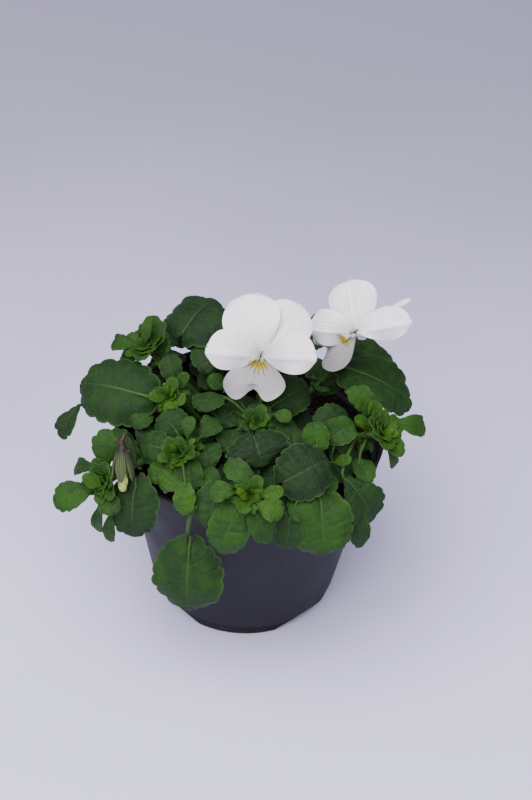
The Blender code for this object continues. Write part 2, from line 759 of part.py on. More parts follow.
def bud_petals(finish):
    """The pale rolled petals that show below the bud's sepals."""
    top, down = bud_frame()
    points = [top + down * distance * MM for distance, radius in BUD_PETAL_SHAPE]
    radii = [radius * MM for distance, radius in BUD_PETAL_SHAPE]
    return tube("bud_petals", points, radii, FLOWER_TUBE_SIDES, finish)


def pot(finish):
    """The thin-walled pot: foot with drain notches, tapered wall, rim band and drain holes."""
    inner_foot = FOOT_RADIUS - WALL
    wall_top = RIM_RADIUS - RIM_STEP
    collar = POT_HEIGHT - RIM_HEIGHT
    wall_slope = (wall_top - FOOT_RADIUS) / (collar - 1.0 - FOOT_CHAMFER)
    band_foot = FOOT_RADIUS + wall_slope * (FOOT_EDGE - FOOT_CHAMFER) - FOOT_BAND_STEP
    band_top = FOOT_RADIUS + wall_slope * (FOOT_BAND_HEIGHT - FOOT_CHAMFER)
    body = turned("pot", [
        (0.0, 0.0),
        (band_foot - FOOT_EDGE, 0.0),
        (band_foot, FOOT_EDGE),
        (band_top - FOOT_BAND_STEP, FOOT_BAND_HEIGHT - FOOT_BAND_STEP),
        (band_top, FOOT_BAND_HEIGHT),
        (wall_top, collar - 1.0),
        (RIM_RADIUS - RIM_FLARE, collar),
        (RIM_RADIUS - 0.3, POT_HEIGHT - 1.2),
        (RIM_RADIUS, POT_HEIGHT),
        (RIM_RADIUS - WALL, POT_HEIGHT),
        (RIM_RADIUS - RIM_FLARE - WALL, collar),
        (wall_top - WALL, collar - 1.0),
        (inner_foot, FLOOR + INNER_CHAMFER),
        (inner_foot - INNER_CHAMFER, FLOOR),
        (0.0, FLOOR),
    ], POT_SIDES, finish)
    cutters = []
    for k in range(NOTCH_COUNT):
        turn = math.radians(NOTCH_TURN - 90.0) + math.tau * k / NOTCH_COUNT
        out = Vector((math.cos(turn), math.sin(turn), 0.0))
        middle = Vector((0.0, 0.0, (NOTCH_HEIGHT - NOTCH_RADIUS) * MM))
        ends = [out * reach * MM + middle
                for reach in (FOOT_RADIUS - NOTCH_REACH, FOOT_RADIUS + NOTCH_REACH)]
        cutters.append(tube(f"notch_cutter_{k}", ends, [NOTCH_RADIUS * MM] * 2, 36))
        hole = out * DRAIN_HOLE_REACH * MM
        ends = [hole + metres((0.0, 0.0, height)) for height in (-1.0, FLOOR + 1.0)]
        cutters.append(tube(f"drain_cutter_{k}", ends, [DRAIN_HOLE_RADIUS * MM] * 2, 12))
    boolean(body, cutters, "DIFFERENCE")
    for polygon in body.data.polygons:
        polygon.use_smooth = True
    body.data.set_sharp_from_angle(angle=math.radians(SMOOTH_BELOW))
    return body


def soil_relief(x, y):
    """The height of the loose potting soil above its mean level, in millimetres."""
    waves = math.sin(0.31 * x + 1.0) * math.cos(0.27 * y) + 0.6 * math.sin(0.73 * x - 0.58 * y)
    return SOIL_RELIEF * waves


def soil(finish):
    """The root ball and its loose top, with a plain hole for each stem."""
    shoulder = FLOOR + INNER_CHAMFER + TOUCHING_GAP
    shoulder_radius = FOOT_RADIUS - WALL - TOUCHING_GAP
    wall_height = POT_HEIGHT - RIM_HEIGHT - 1.0 - FOOT_CHAMFER
    wall_slope = (RIM_RADIUS - RIM_STEP - FOOT_RADIUS) / wall_height
    edge_height = SOIL_TOP - SOIL_EDGE_DROP
    edge_radius = shoulder_radius + (edge_height - shoulder) * wall_slope - 0.1
    profile = [
        (0.0, FLOOR + TOUCHING_GAP),
        (shoulder_radius - INNER_CHAMFER, FLOOR + TOUCHING_GAP),
        (shoulder_radius, shoulder),
        (edge_radius, edge_height),
    ]
    for k in range(1, SOIL_RINGS):
        profile.append((edge_radius * (1.0 - k / SOIL_RINGS), SOIL_TOP))
    profile.append((0.0, SOIL_TOP))
    body = turned("soil", profile, SOIL_SIDES, finish)
    for vertex in body.data.vertices:
        x, y, z = vertex.co / MM
        if z > edge_height + 1.0:
            vertex.co.z = (SOIL_TOP + soil_relief(x, y)) * MM
    cutters = []
    for name, plan in STEMS.items():
        x, y = plan["foot"]
        ends = [metres((x, y, SOIL_TOP - STEM_ROOT_DEPTH - TOUCHING_GAP)),
                metres((x, y, SOIL_TOP + 2.0 * SOIL_EDGE_DROP))]
        radius = (STEM_RADIUS + HOLE_CLEARANCE) * MM
        cutters.append(tube(f"hole_{name}", ends, [radius] * 2, HOLE_SIDES))
    boolean(body, cutters, "DIFFERENCE")
    return body


for old in list(bpy.data.objects):
    bpy.data.objects.remove(old)

pot(material("pot_plastic", (0.035, 0.032, 0.045), 0.35))
soil(material("potting_soil", (0.018, 0.012, 0.009), 0.95))

leaf_green = material("leaf_green", (0.05, 0.13, 0.03), 0.5)
petal_white = material("petal_white", (0.80, 0.77, 0.80), 0.55)
bud_yellow = material("bud_yellow", (0.68, 0.70, 0.32), 0.55)

stalks = {name: [] for name in STEMS}
for bloom_name, bloom_plan in BLOOMS.items():
    stalks[bloom_plan["stem"]] += calyx_and_stalk(bloom_name, bloom_plan)
    petals(bloom_name, bloom_plan, petal_white)
stalks[BUD_STEM] += bud_calyx()
bud_petals(bud_yellow)
for stem_name, stem_plan in STEMS.items():
    leafy_stem(stem_name, stem_plan, leaf_green, stalks[stem_name])
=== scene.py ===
"""The looks of a potted white viola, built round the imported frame.

Tables are in millimetres and become metres in the meshes. The origin is the middle of the pot's
underside, +Z is up, and the side that is usually looked at faces -Y.
"""

import math
import random

import bpy
import numpy as np
from mathutils import Matrix, Vector, noise


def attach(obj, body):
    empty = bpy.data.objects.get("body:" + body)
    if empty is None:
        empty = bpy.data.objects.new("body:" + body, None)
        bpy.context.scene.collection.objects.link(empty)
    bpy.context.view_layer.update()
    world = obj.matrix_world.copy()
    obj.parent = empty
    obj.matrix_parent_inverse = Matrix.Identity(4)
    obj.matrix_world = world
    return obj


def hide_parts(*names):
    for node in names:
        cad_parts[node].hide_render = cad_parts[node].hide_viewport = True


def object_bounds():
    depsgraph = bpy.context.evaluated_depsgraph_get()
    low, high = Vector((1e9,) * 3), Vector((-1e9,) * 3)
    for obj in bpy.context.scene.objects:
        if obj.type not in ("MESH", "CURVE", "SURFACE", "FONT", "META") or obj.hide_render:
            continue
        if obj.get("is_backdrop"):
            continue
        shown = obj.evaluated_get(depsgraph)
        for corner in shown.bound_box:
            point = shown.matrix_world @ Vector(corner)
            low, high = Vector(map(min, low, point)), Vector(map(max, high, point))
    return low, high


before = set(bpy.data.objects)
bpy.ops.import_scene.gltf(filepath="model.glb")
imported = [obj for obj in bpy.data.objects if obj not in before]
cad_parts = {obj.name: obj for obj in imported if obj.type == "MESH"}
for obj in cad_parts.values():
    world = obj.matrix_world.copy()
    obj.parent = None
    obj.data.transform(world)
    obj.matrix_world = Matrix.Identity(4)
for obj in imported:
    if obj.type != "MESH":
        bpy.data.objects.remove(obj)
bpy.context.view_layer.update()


# The pot
# The real one is moulded in one piece from thin near-black plastic with a satin face. Here it is
# drawn up from its foot as one wall and rolled over at the rim, then notched and drilled.
MM = 0.001
POT_SIDES = 144
POT_FOOT_START = (36.9, 0.0)
# Radius and height at each turn of the wall: up the outside, over the rim and down the inside.
POT_WALL = [(37.7, 0.8), (38.6, 5.6), (39.24, 6.2), (50.8, 72.0), (52.4, 73.0), (53.7, 80.8),
            (54.0, 82.0), (52.6, 82.0), (51.0, 73.0), (49.4, 72.0), (37.1, 3.0), (35.7, 1.6)]
POT_EDGE_ROUNDING = 0.25
NOTCH_COUNT = 4
NOTCH_TURN = 43.0
NOTCH_RADIUS = 23.0
NOTCH_HEIGHT = 5.0
NOTCH_DEPTH = 10.0
FOOT_RADIUS = 38.5
DRAIN_HOLE_REACH = 22.0
DRAIN_HOLE_RADIUS = 4.0
DRAIN_HOLE_DEPTH = 6.0
RIM_DUST_FROM = 70.0
RIM_DUST_TO = 82.0
RIM_DUST_SHARE = 0.35
FOOT_DUST_FROM = 9.0
# Heights where the painted shade of the recessed foot band starts and where it is full.
FOOT_SHADE_TOP = 6.4
FOOT_SHADE_FULL = 5.8
PLASTIC_PATCH_SIZE = 14.0
PLASTIC_DARK = (0.0125, 0.0122, 0.0150)
PLASTIC_WORN = (0.0185, 0.0178, 0.0215)
FOOT_PAINTED_SHADE = (0.005, 0.005, 0.006)
SOIL_DUST = (0.045, 0.033, 0.024)


def metres(point):
    """A point in millimetres as a vector in metres."""
    return Vector(point) * MM


def fresh(add, **settings):
    """Adds a primitive with nothing else selected and gives back the new object."""
    bpy.ops.object.select_all(action="DESELECT")
    add(**settings)
    return bpy.context.object


def only(objects):
    """Selects these objects alone, with the first one active."""
    bpy.ops.object.select_all(action="DESELECT")
    for obj in objects:
        obj.select_set(True)
    bpy.context.view_layer.objects.active = objects[0]


def modify(obj, kind, **settings):
    """Adds a modifier and applies it."""
    only([obj])
    modifier = obj.modifiers.new(kind.lower(), kind)
    for name, value in settings.items():
        setattr(modifier, name, value)
    bpy.ops.object.modifier_apply(modifier=modifier.name)


def joined(objects, name):
    """Joins the objects into one piece with its place in its mesh."""
    only(objects)
    if len(objects) > 1:
        bpy.ops.object.join()
    piece = bpy.context.object
    bpy.ops.object.transform_apply(location=True, rotation=True, scale=True)
    piece.name = name
    piece.data.name = name
    return piece


def node(tree, kind, inputs=(), **settings):
    """Adds a shader node, sets it, and links or sets its inputs."""
    made = tree.nodes.new(kind)
    for name, value in settings.items():
        setattr(made, name, value)
    for name, value in dict(inputs).items():
        feed(made.inputs[name], value)
    return made


def feed(socket, value):
    """Links a socket to an output, or sets it to a number, colour or vector."""
    if isinstance(value, bpy.types.NodeSocket):
        socket.id_data.links.new(value, socket)
    elif socket.type == "RGBA" and len(value) == 3:
        socket.default_value = (*value, 1.0)
    else:
        socket.default_value = value


def tree_of(*values):
    """The node tree of the first of the values that is a node's output."""
    return next(value.id_data for value in values if isinstance(value, bpy.types.NodeSocket))


def mixed(share, first, second):
    """A colour between two colours."""
    return node(tree_of(share, first, second), "ShaderNodeMix", {0: share, 6: first, 7: second},
                data_type="RGBA").outputs[2]


def figure(operation, first, second=0.0):
    """The result of one sum on one or two values."""
    return node(tree_of(first, second), "ShaderNodeMath", {0: first, 1: second},
                operation=operation).outputs[0]


def times(product, *others):
    """The product of two or more values."""
    for other in others:
        product = figure("MULTIPLY", product, other)
    return product


def graded(value, low, high, start=0.0, end=1.0):
    """Goes smoothly from start to end while the value goes from low to high."""
    return node(value.id_data, "ShaderNodeMapRange", {
        "Value": value, "From Min": low, "From Max": high, "To Min": start, "To Max": end},
        interpolation_type="SMOOTHSTEP").outputs["Result"]


def new_group(name, inputs, outputs):
    """A shader node group with named inputs and outputs, and its two end nodes."""
    group = bpy.data.node_groups.new(name, "ShaderNodeTree")
    for label, kind in inputs:
        group.interface.new_socket(label, in_out="INPUT", socket_type=kind)
    for label in outputs:
        group.interface.new_socket(label, in_out="OUTPUT", socket_type="NodeSocketFloat")
    return group, node(group, "NodeGroupInput"), node(group, "NodeGroupOutput")


def new_finish(name, shine):
    """A Principled material with its amount of shine, its node tree and its shader."""
    made = bpy.data.materials.new(name)
    made.use_nodes = True
    shader = made.node_tree.nodes["Principled BSDF"]
    shader.inputs["Specular IOR Level"].default_value = shine
    return made, made.node_tree, shader


def placed_at(tree):
    """The position on the object, in metres."""
    return node(tree, "ShaderNodeTexCoord").outputs["Object"]


def parts_of(vector):
    """The outputs X, Y and Z of a vector."""
    return node(vector.id_data, "ShaderNodeSeparateXYZ", {"Vector": vector}).outputs


def bumped(shader, height, depth):
    """Gives the shader a normal from a height of up to depth, in millimetres."""
    bump = node(shader.id_data, "ShaderNodeBump", {
        "Height": height, "Distance": depth * MM, "Strength": 1.0})
    feed(shader.inputs["Normal"], bump.outputs["Normal"])


# Cloudy patches and fine grain, which most of the finishes use at their own scale.
mottle_group, mottle_in, mottle_out = new_group(
    "mottle", [("Position", "NodeSocketVector"), ("Patch Size", "NodeSocketFloat")],
    ["Patches", "Grain"])
patch_scale = figure("DIVIDE", 1.0 / MM, mottle_in.outputs["Patch Size"])
grain_scale = times(patch_scale, 9.0)
patch_noise = node(mottle_group, "ShaderNodeTexNoise", {
    "Vector": mottle_in.outputs["Position"], "Scale": patch_scale, "Detail": 3.0})
grain_noise = node(mottle_group, "ShaderNodeTexNoise", {
    "Vector": mottle_in.outputs["Position"], "Scale": grain_scale, "Detail": 2.0})
feed(mottle_out.inputs["Patches"], graded(patch_noise.outputs[0], 0.32, 0.68))
feed(mottle_out.inputs["Grain"], grain_noise.outputs[0])


def mottled(tree, patch_size):
    """The mottle group at one patch size in millimetres: patches and grain."""
    made = node(tree, "ShaderNodeGroup", {"Position": placed_at(tree), "Patch Size": patch_size},
                node_tree=mottle_group)
    return made.outputs["Patches"], made.outputs["Grain"]


pot_finish, tree, shader = new_finish("pot_plastic_satin", 0.12)
place = placed_at(tree)
patches, grain = mottled(tree, PLASTIC_PATCH_SIZE)
height = parts_of(place)["Z"]
near_rim = graded(height, RIM_DUST_FROM * MM, RIM_DUST_TO * MM)
near_foot = graded(height, FOOT_DUST_FROM * MM, 0.0)
splashes = node(tree, "ShaderNodeTexNoise", {"Vector": place, "Scale": 420.0, "Detail": 4.0})
splashed = graded(splashes.outputs[0], 0.53, 0.62)
dust_reach = figure("ADD", times(near_rim, RIM_DUST_SHARE), near_foot)
dusty = times(splashed, dust_reach)
# Painted shade: the plastic darkens towards near black on the band below the foot's step, for the shade
# in that recess.
foot_painted_shade = graded(height, FOOT_SHADE_TOP * MM, FOOT_SHADE_FULL * MM, 0.0, 0.9)
plastic = mixed(patches, PLASTIC_DARK, PLASTIC_WORN)
plastic = mixed(foot_painted_shade, plastic, FOOT_PAINTED_SHADE)
feed(shader.inputs["Base Color"], mixed(dusty, plastic, SOIL_DUST))
rubbed = graded(patches, 0.0, 1.0, 0.50, 0.60)
feed(shader.inputs["Roughness"], figure("ADD", rubbed, times(dusty, 0.4)))
bumped(shader, figure("ADD", grain, dusty), 0.05)


def drawn_up(foot, wall, sides):
    """A round body drawn up from its foot, ring by ring, and left in editing with its top chosen."""
    radius, height = foot
    body = fresh(bpy.ops.mesh.primitive_circle_add, vertices=sides, radius=radius * MM,
                 fill_type="NGON", location=(0.0, 0.0, height * MM))
    bpy.ops.object.mode_set(mode="EDIT")
    bpy.ops.mesh.select_mode(type="FACE")
    bpy.ops.mesh.select_all(action="SELECT")
    for next_radius, next_height in wall:
        rise = (0.0, 0.0, (next_height - height) * MM)
        bpy.ops.mesh.extrude_region_move(TRANSFORM_OT_translate={"value": rise})
        spread = next_radius / radius
        bpy.ops.transform.resize(value=(spread, spread, 1.0), center_override=(0.0, 0.0, 0.0))
        radius, height = next_radius, next_height
    return body


def end_editing():
    """Turns all faces of the body in editing outwards and leaves editing."""
    bpy.ops.mesh.select_all(action="SELECT")
    bpy.ops.mesh.normals_make_consistent(inside=False)
    bpy.ops.object.mode_set(mode="OBJECT")


pot = drawn_up(POT_FOOT_START, POT_WALL, POT_SIDES)
end_editing()
modify(pot, "BEVEL", width=POT_EDGE_ROUNDING * MM, segments=3, limit_method="ANGLE",
       angle_limit=math.radians(25.0))
for k in range(NOTCH_COUNT):
    turn = math.radians(NOTCH_TURN - 90.0) + math.tau * k / NOTCH_COUNT
    out = Vector((math.cos(turn), math.sin(turn), 0.0))
    notch = fresh(bpy.ops.mesh.primitive_cylinder_add, vertices=96, radius=NOTCH_RADIUS * MM,
                  depth=NOTCH_DEPTH * MM, rotation=(math.pi / 2, 0.0, turn + math.pi / 2),
                  location=out * FOOT_RADIUS * MM + metres((0, 0, NOTCH_HEIGHT - NOTCH_RADIUS)))
    hole = fresh(bpy.ops.mesh.primitive_cylinder_add, vertices=32, radius=DRAIN_HOLE_RADIUS * MM,
                 depth=DRAIN_HOLE_DEPTH * MM, location=out * DRAIN_HOLE_REACH * MM)
    for cutter in (notch, hole):
        modify(pot, "BOOLEAN", operation="DIFFERENCE", object=cutter)
        bpy.data.objects.remove(cutter)
pot = joined([pot], "nursery_pot")
bpy.ops.object.shade_smooth_by_angle(angle=math.radians(35.0))
pot.data.materials.append(pot_finish)
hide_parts("pot")
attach(pot, "root")


# The potting soil
# Moist peat compost that fills the pot, with an uneven crumbly top, a few fibres and the white
# grains of perlite that the mix holds. Crumbs are pressed lumps, scattered on the top.
SOIL_SEED = 11
SOIL_SIDES = 180
SOIL_WALL = [(36.7, 3.3), (48.9, 70.5)]
SOIL_FOOT_START = (35.3, 1.9)
SOIL_TOP = 73.0
SOIL_RINGS = 44
SOIL_RELIEF = 0.8
SOIL_CRUMB_RELIEF = 1.1
CRUMB_COUNT = 1100
FIBRE_COUNT = 70
CRUMB_SIZES = (0.4, 1.3)
FIBRE_SIZES = (0.6, 1.2)
FIBRE_STRETCH = 11.0
SOIL_SHINE = 0.12
SOIL_ROUGHNESS = (0.75, 0.98)
LUMP_UNEVENNESS = 0.12
# Perlite grains: the middle of each, and its size.
PERLITE = [(-38, -26, 2.4), (-31, -33, 1.8), (-42, -20, 1.6), (-27, -27, 1.5), (-20, -41, 1.7),
           (41, -22, 2.2), (38, -13, 1.6), (45, -10, 1.5), (30, 2, 1.9), (36, 8, 1.4), (21, 22, 1.6),
           (-12, 31, 1.8), (-26, 22, 1.5), (-35, 8, 1.4), (4, -33, 1.6), (12, 36, 1.5)]
SOIL_DARK = (0.006, 0.005, 0.004)
SOIL_LIGHT = (0.022, 0.016, 0.012)
PERLITE_GREY = (0.40, 0.38, 0.34)
PERLITE_WHITE = (0.62, 0.60, 0.56)
FIBRE_BROWN = (0.055, 0.036, 0.022)
FIBRE_PALE = (0.10, 0.07, 0.04)


def soil_height(x, y):
    """The height of the soil's top at a place, in millimetres."""
    waves = math.sin(0.31 * x + 1.0) * math.cos(0.27 * y) + 0.6 * math.sin(0.73 * x - 0.58 * y)
    lumps = noise.noise(Vector((x, y, 0.0)) * 0.35) + 0.6 * noise.noise(Vector((x, y, 5.0)) * 0.9)
    return SOIL_TOP + SOIL_RELIEF * waves + SOIL_CRUMB_RELIEF * lumps


def roughened(shader, grain, least, most):
    """Lets the roughness of a shader follow the grain."""
    feed(shader.inputs["Roughness"], graded(grain, 0.3, 0.7, least, most))


def grainy_finish(name, shine, colours, patch_size, roughness, depth=0.0, lumpy=False):
    """A finish with cloudy patches of two colours, and a fine grain; if lumpy, the patches rise."""
    made, tree, shader = new_finish(name, shine)
    patches, grain = mottled(tree, patch_size)
    feed(shader.inputs["Base Color"], mixed(patches, *colours))
    roughened(shader, grain, *roughness)
    if depth > 0.0:
        bumped(shader, figure("ADD", patches, grain) if lumpy else grain, depth)
    return made


soil_finish, perlite_finish, fibre_finish = (
    grainy_finish(name, SOIL_SHINE, colours, patch_size, SOIL_ROUGHNESS, depth, lumpy=True)
    for name, colours, patch_size, depth in (
        ("soil_crumb", (SOIL_DARK, SOIL_LIGHT), 2.6, 0.5),
        ("perlite", (PERLITE_GREY, PERLITE_WHITE), 0.7, 0.15),
        ("peat_fibre", (FIBRE_BROWN, FIBRE_PALE), 1.2, 0.1)))

soil = drawn_up(SOIL_FOOT_START, SOIL_WALL, SOIL_SIDES)
for ring in range(SOIL_RINGS - 1):
    bpy.ops.mesh.inset(thickness=SOIL_WALL[-1][0] / SOIL_RINGS * MM)
bpy.ops.mesh.poke()
end_editing()
soil = joined([soil], "soil_body")
soil_edge = SOIL_WALL[-1][0] - 0.2
for vertex in soil.data.vertices:
    x, y, z = vertex.co / MM
    if z > SOIL_WALL[-1][1] - 0.1 and math.hypot(x, y) < soil_edge:
        vertex.co.z = soil_height(x, y) * MM
soil.data.materials.append(soil_finish)

draw = random.Random(SOIL_SEED)
noise.seed_set(SOIL_SEED)


def copied(master):
    """A copy of an object with a mesh of its own."""
    copy = master.copy()
    copy.data = master.data.copy()
    bpy.context.scene.collection.objects.link(copy)
    return copy


def lump(finish, radius, rounds=1, middle=(0.0, 0.0, 0.0)):
    """A round lump, rounder with each round; its radius is in millimetres."""
    made = fresh(bpy.ops.mesh.primitive_ico_sphere_add, subdivisions=rounds, radius=radius * MM,
                 location=middle)
    made.data.materials.append(finish)
    return made


def lump_copies(master, places, stretch, sink):
    """Copies of a lump, each with its own mesh, turned at random and pressed into the soil."""
    copies = []
    for x, y, size in places:
        copy = copied(master)
        turn = Matrix.Rotation(draw.uniform(0.0, math.tau), 4, "Z")
        tilt = Matrix.Rotation(draw.uniform(-0.5, 0.5), 4, "X")
        shape = Matrix.Diagonal((size * stretch, size * draw.uniform(0.6, 1.0),
                                 size * draw.uniform(0.5, 0.9), 1.0))
        seat = Matrix.Translation(metres((x, y, soil_height(x, y) + size * sink)))
        copy.data.transform(seat @ turn @ tilt @ shape)
        for vertex in copy.data.vertices:
            jog = noise.noise_vector(vertex.co / MM * 1.7)
            vertex.co += jog * size * LUMP_UNEVENNESS * MM
        copies.append(copy)
    return copies


def random_places(count, smallest, largest):
    """Places spread evenly over the soil, with a size each."""
    places = []
    for k in range(count):
        reach = (soil_edge - 1.5) * math.sqrt(draw.random())
        turn = draw.uniform(0.0, math.tau)
        places.append((reach * math.cos(turn), reach * math.sin(turn),
                       draw.uniform(smallest, largest)))
    return places


crumb = lump(soil_finish, 1.0)
perlite = lump(perlite_finish, 0.5, 2)
fibre = lump(fibre_finish, 0.3)
crumbs = lump_copies(crumb, random_places(CRUMB_COUNT, *CRUMB_SIZES), 1.0, 0.2)
grains = lump_copies(perlite, PERLITE, 1.0, 0.45)
fibres = lump_copies(fibre, random_places(FIBRE_COUNT, *FIBRE_SIZES), FIBRE_STRETCH, 0.5)
for master in (crumb, perlite, fibre):
    bpy.data.objects.remove(master)
soil = joined([soil] + crumbs + grains + fibres, "potting_soil_top")
bpy.ops.object.shade_smooth_by_angle(angle=math.radians(50.0))
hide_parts("soil")
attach(soil, "root")


# The top left shoot
# A young stem that stands clear of the others, with small spoon-shaped leaves. A stem, its leaves,
# their stalks and their stipules grow as one; a leaf is a thin blade with scalloped edges.
BLADE_THICKNESS = 0.45
STEM_RADIUS = 1.6
STEM_TAPER = 0.3
STEM_ROOT = 66.0
STEM_COLLAR = 75.5
PETIOLE_RADIUS = 0.75
PETIOLE_TAPER = 0.8
PETIOLE_ARCH = 0.16
SHORT_PETIOLE = 9.0
NECK_HALF = 0.5
STIPULE_HANDS = (-1.0, 1.0, -1.0, 1.0)
STIPULE_LENGTH = 6.0
LIGHT = Vector((0.0, -0.45, 1.0))
LOOK_OUTWARD = 0.35
LOOK_TO_LIGHT = 0.5
TUFT_TURN = 0.382
# How far the first leaf of a tuft leans out, and what the later ones add; then its length likewise.
TUFT_LEAN = (0.4, 1.5)
TUFT_LENGTH = (0.6, 0.5)
TUFT_LIFT = 0.6
TUFT_LOOK_INWARD = 0.8
TEETH_BY_WIDTH = ((18.0, 8), (13.0, 7), (8.0, 5), (3.5, 3), (0.0, 2))
TOOTH_RANGE = (0.4, 1.3)
TOOTH_SHIFT = 0.16
TOOTH_DEPTH = {"round": 0.095, "spoon": 0.13, "young": 0.10}
TAPER = {"spoon": 0.6, "young": 0.25}
PEAK = {"spoon": 1.2, "young": 1.08}
ARCH = {"round": 0.12, "spoon": 0.15, "young": 0.06}
CUP = {"round": (-0.20, 0.02), "spoon": (0.22, 0.44), "young": (0.30, 0.45)}
SMALL_ROUND = 13.0
SMALL_ROUND_CUP = (0.0, 0.34)
TWIST = 0.16
# The heights of a leaf's veins and pleats are given for this width, and are less in a smaller leaf.
RELIEF_WIDTH = 25.0
RIB_SINK = 0.35
RIB_HALF = 0.8
PLEAT_HEIGHT = 0.22
BLISTER_LENGTH = 4.2
BLISTER_HEIGHT = 0.13
MARGIN_CURL = 0.05
TIP_CURL = 0.10
EDGE_WAVES = (1.6, 2.6)
EDGE_SWING = (0.03, 0.06)
ROUND_CENTRE = 0.42
ROUND_FIRST_ANGLE = 2.0
SINUS_SHARE = 0.02
VEIN_PAIRS = 4.5
TIP_END = 0.985
# The steps across and along the sheet for a blade, from the width where it begins.
SHEET_BY_WIDTH = ((16.0, (26, 72)), (7.5, (16, 44)), (3.5, (8, 20)), (0.0, (6, 11)))
# Green of a leaf's face and underside from the oldest, 0, to the youngest, 1.
FACE_GREENS = [(0.0, (0.0055, 0.0155, 0.0060)), (0.35, (0.0092, 0.030, 0.0066)),
               (0.7, (0.0168, 0.056, 0.0058)), (1.0, (0.030, 0.080, 0.0028))]
UNDERSIDE_PALE = (0.020, 0.040, 0.018)
VEIN_GREEN = (0.045, 0.095, 0.025)
STALK_GREEN = (0.024, 0.062, 0.009)
STALK_PURPLE = (0.016, 0.015, 0.015)
LEAF_SHINE = 0.11
LEAF_PATCH_SIZE = 5.5
LEAF_PATCH_TONE = 0.10
LEAF_CELLS_PER_METRE = 900.0
NET_PALENESS = 0.15
RIB_PALENESS = 0.36
VEIN_PALENESS = 0.15
MARGIN_PALENESS_AND_HIGHLIGHT = 0.55


def stored(tree, label):
    """A number that is stored on each point of the mesh."""
    return node(tree, "ShaderNodeAttribute", attribute_name=label).outputs["Fac"]


def on_sheet(tree):
    """The place on the flat sheet that a blade or petal was shaped from."""
    return node(tree, "ShaderNodeUVMap", uv_map="UVMap").outputs["UV"]


# A leaf's midrib, side veins and margin, from the place on its sheet.
veins_group, veins_in, veins_out = new_group(
    "leaf_veins", [("Map", "NodeSocketVector"), ("Side Veins", "NodeSocketFloat")],
    ["Rib", "Vein", "Margin"])
on_map = parts_of(veins_in.outputs["Map"])
from_middle = figure("SUBTRACT", on_map["X"], 0.5)
from_rib = figure("ABSOLUTE", times(from_middle, 2.0))
rib_width = graded(on_map["Y"], 0.0, 0.9, 0.055, 0.012)
rib = graded(figure("DIVIDE", from_rib, rib_width), 1.3, 0.5)
between = figure("FRACT", times(on_map["Y"], veins_in.outputs["Side Veins"]))
from_vein = figure("PINGPONG", between, 0.5)
feed(veins_out.inputs["Rib"], rib)
feed(veins_out.inputs["Vein"], times(graded(from_vein, 0.06, 0.0), graded(from_rib, 0.95, 0.35)))
feed(veins_out.inputs["Margin"], graded(from_rib, 0.93, 1.0))


def leaf_finish(name, underside):
    """The finish of a leaf's face or underside; its green follows the leaf's tone."""
    made, tree, shader = new_finish(name, LEAF_SHINE)
    tone = stored(tree, "tone")
    veins = node(tree, "ShaderNodeGroup", {
        "Map": on_sheet(tree), "Side Veins": VEIN_PAIRS * TIP_END}, node_tree=veins_group).outputs
    patches, grain = mottled(tree, LEAF_PATCH_SIZE)
    cells = node(tree, "ShaderNodeTexVoronoi", {
        "Vector": placed_at(tree), "Scale": LEAF_CELLS_PER_METRE}, feature="DISTANCE_TO_EDGE")
    net = graded(cells.outputs["Distance"], 0.0, 0.12)
    patch_tone = graded(patches, 0.0, 1.0, -LEAF_PATCH_TONE, LEAF_PATCH_TONE)
    greens = node(tree, "ShaderNodeValToRGB", {"Fac": figure("ADD", tone, patch_tone)})
    ramp = greens.color_ramp.elements
    while len(ramp) < len(FACE_GREENS):
        ramp.new(0.5)
    for element, (position, colour) in zip(ramp, FACE_GREENS):
        element.position = position
        element.color = (*colour, 1.0)
    green = greens.outputs["Color"]
    if underside:
        green = mixed(0.55, green, UNDERSIDE_PALE)
    else:
        green = mixed(graded(net, 0.0, 1.0, NET_PALENESS, 0.0), green, VEIN_GREEN)
    lines = figure("MAXIMUM", times(veins["Rib"], RIB_PALENESS), times(veins["Vein"], VEIN_PALENESS))
    # The pale margin is partly the leaf's own paler edge and partly a painted highlight along its rim.
    lines = figure("MAXIMUM", lines, times(veins["Margin"], MARGIN_PALENESS_AND_HIGHLIGHT))
    green = mixed(lines, green, VEIN_GREEN)
    feed(shader.inputs["Base Color"], green)
    smoothest = 0.60 if underside else 0.48
    rough = graded(patches, 0.0, 1.0, smoothest, smoothest + 0.1)
    waxy = graded(tone, 0.4, 0.9, 0.0, 0.12)
    feed(shader.inputs["Roughness"], figure("SUBTRACT", rough, waxy))
    relief = figure("ADD", times(net, 0.5), grain)
    relief = figure("SUBTRACT", relief, times(veins["Vein"], 0.8))
    bumped(shader, relief, 0.15)
    return made


leaf_face = leaf_finish("leaf_face", False)
leaf_underside = leaf_finish("leaf_underside", True)

stalk_finish, tree, shader = new_finish("leaf_stalk", 0.18)
patches, grain = mottled(tree, 3.0)
stalk_colour = mixed(graded(stored(tree, "tone"), 0.0, 0.25), STALK_PURPLE, STALK_GREEN)
streaked = mixed(graded(patches, 0.0, 1.0, 0.0, 0.2), stalk_colour, STALK_PURPLE)
feed(shader.inputs["Base Color"], streaked)
roughened(shader, grain, 0.42, 0.55)
bumped(shader, grain, 0.06)


def flat_sheet(steps):
    """A flat grid with this many steps across and along, to be copied and shaped."""
    sheet = fresh(bpy.ops.mesh.primitive_grid_add, x_subdivisions=steps[0],
                  y_subdivisions=steps[1], size=2.0)
    bpy.ops.object.shade_smooth()
    return sheet


SHEETS = {steps: flat_sheet(steps) for least, steps in SHEET_BY_WIDTH}


def widest_match(table, width):
    """The entry of a table that starts at the widest width not over this one."""
    return next(entry for least, entry in table if width >= least)


def points_of(obj):
    """The places of a mesh's points, a row for each."""
    flat = np.empty(len(obj.data.vertices) * 3)
    obj.data.vertices.foreach_get("co", flat)
    return flat.reshape(-1, 3)


def sheet_copy(steps, name, finishes):
    """A copy of a flat sheet, and where each point is: from -1 to 1 across, and 0 to 1 along."""
    copy = copied(SHEETS[steps])
    copy.name = name
    for finish in finishes:
        copy.data.materials.append(finish)
    flat = points_of(copy)
    return copy, flat[:, 0], (flat[:, 1] + 1.0) / 2.0


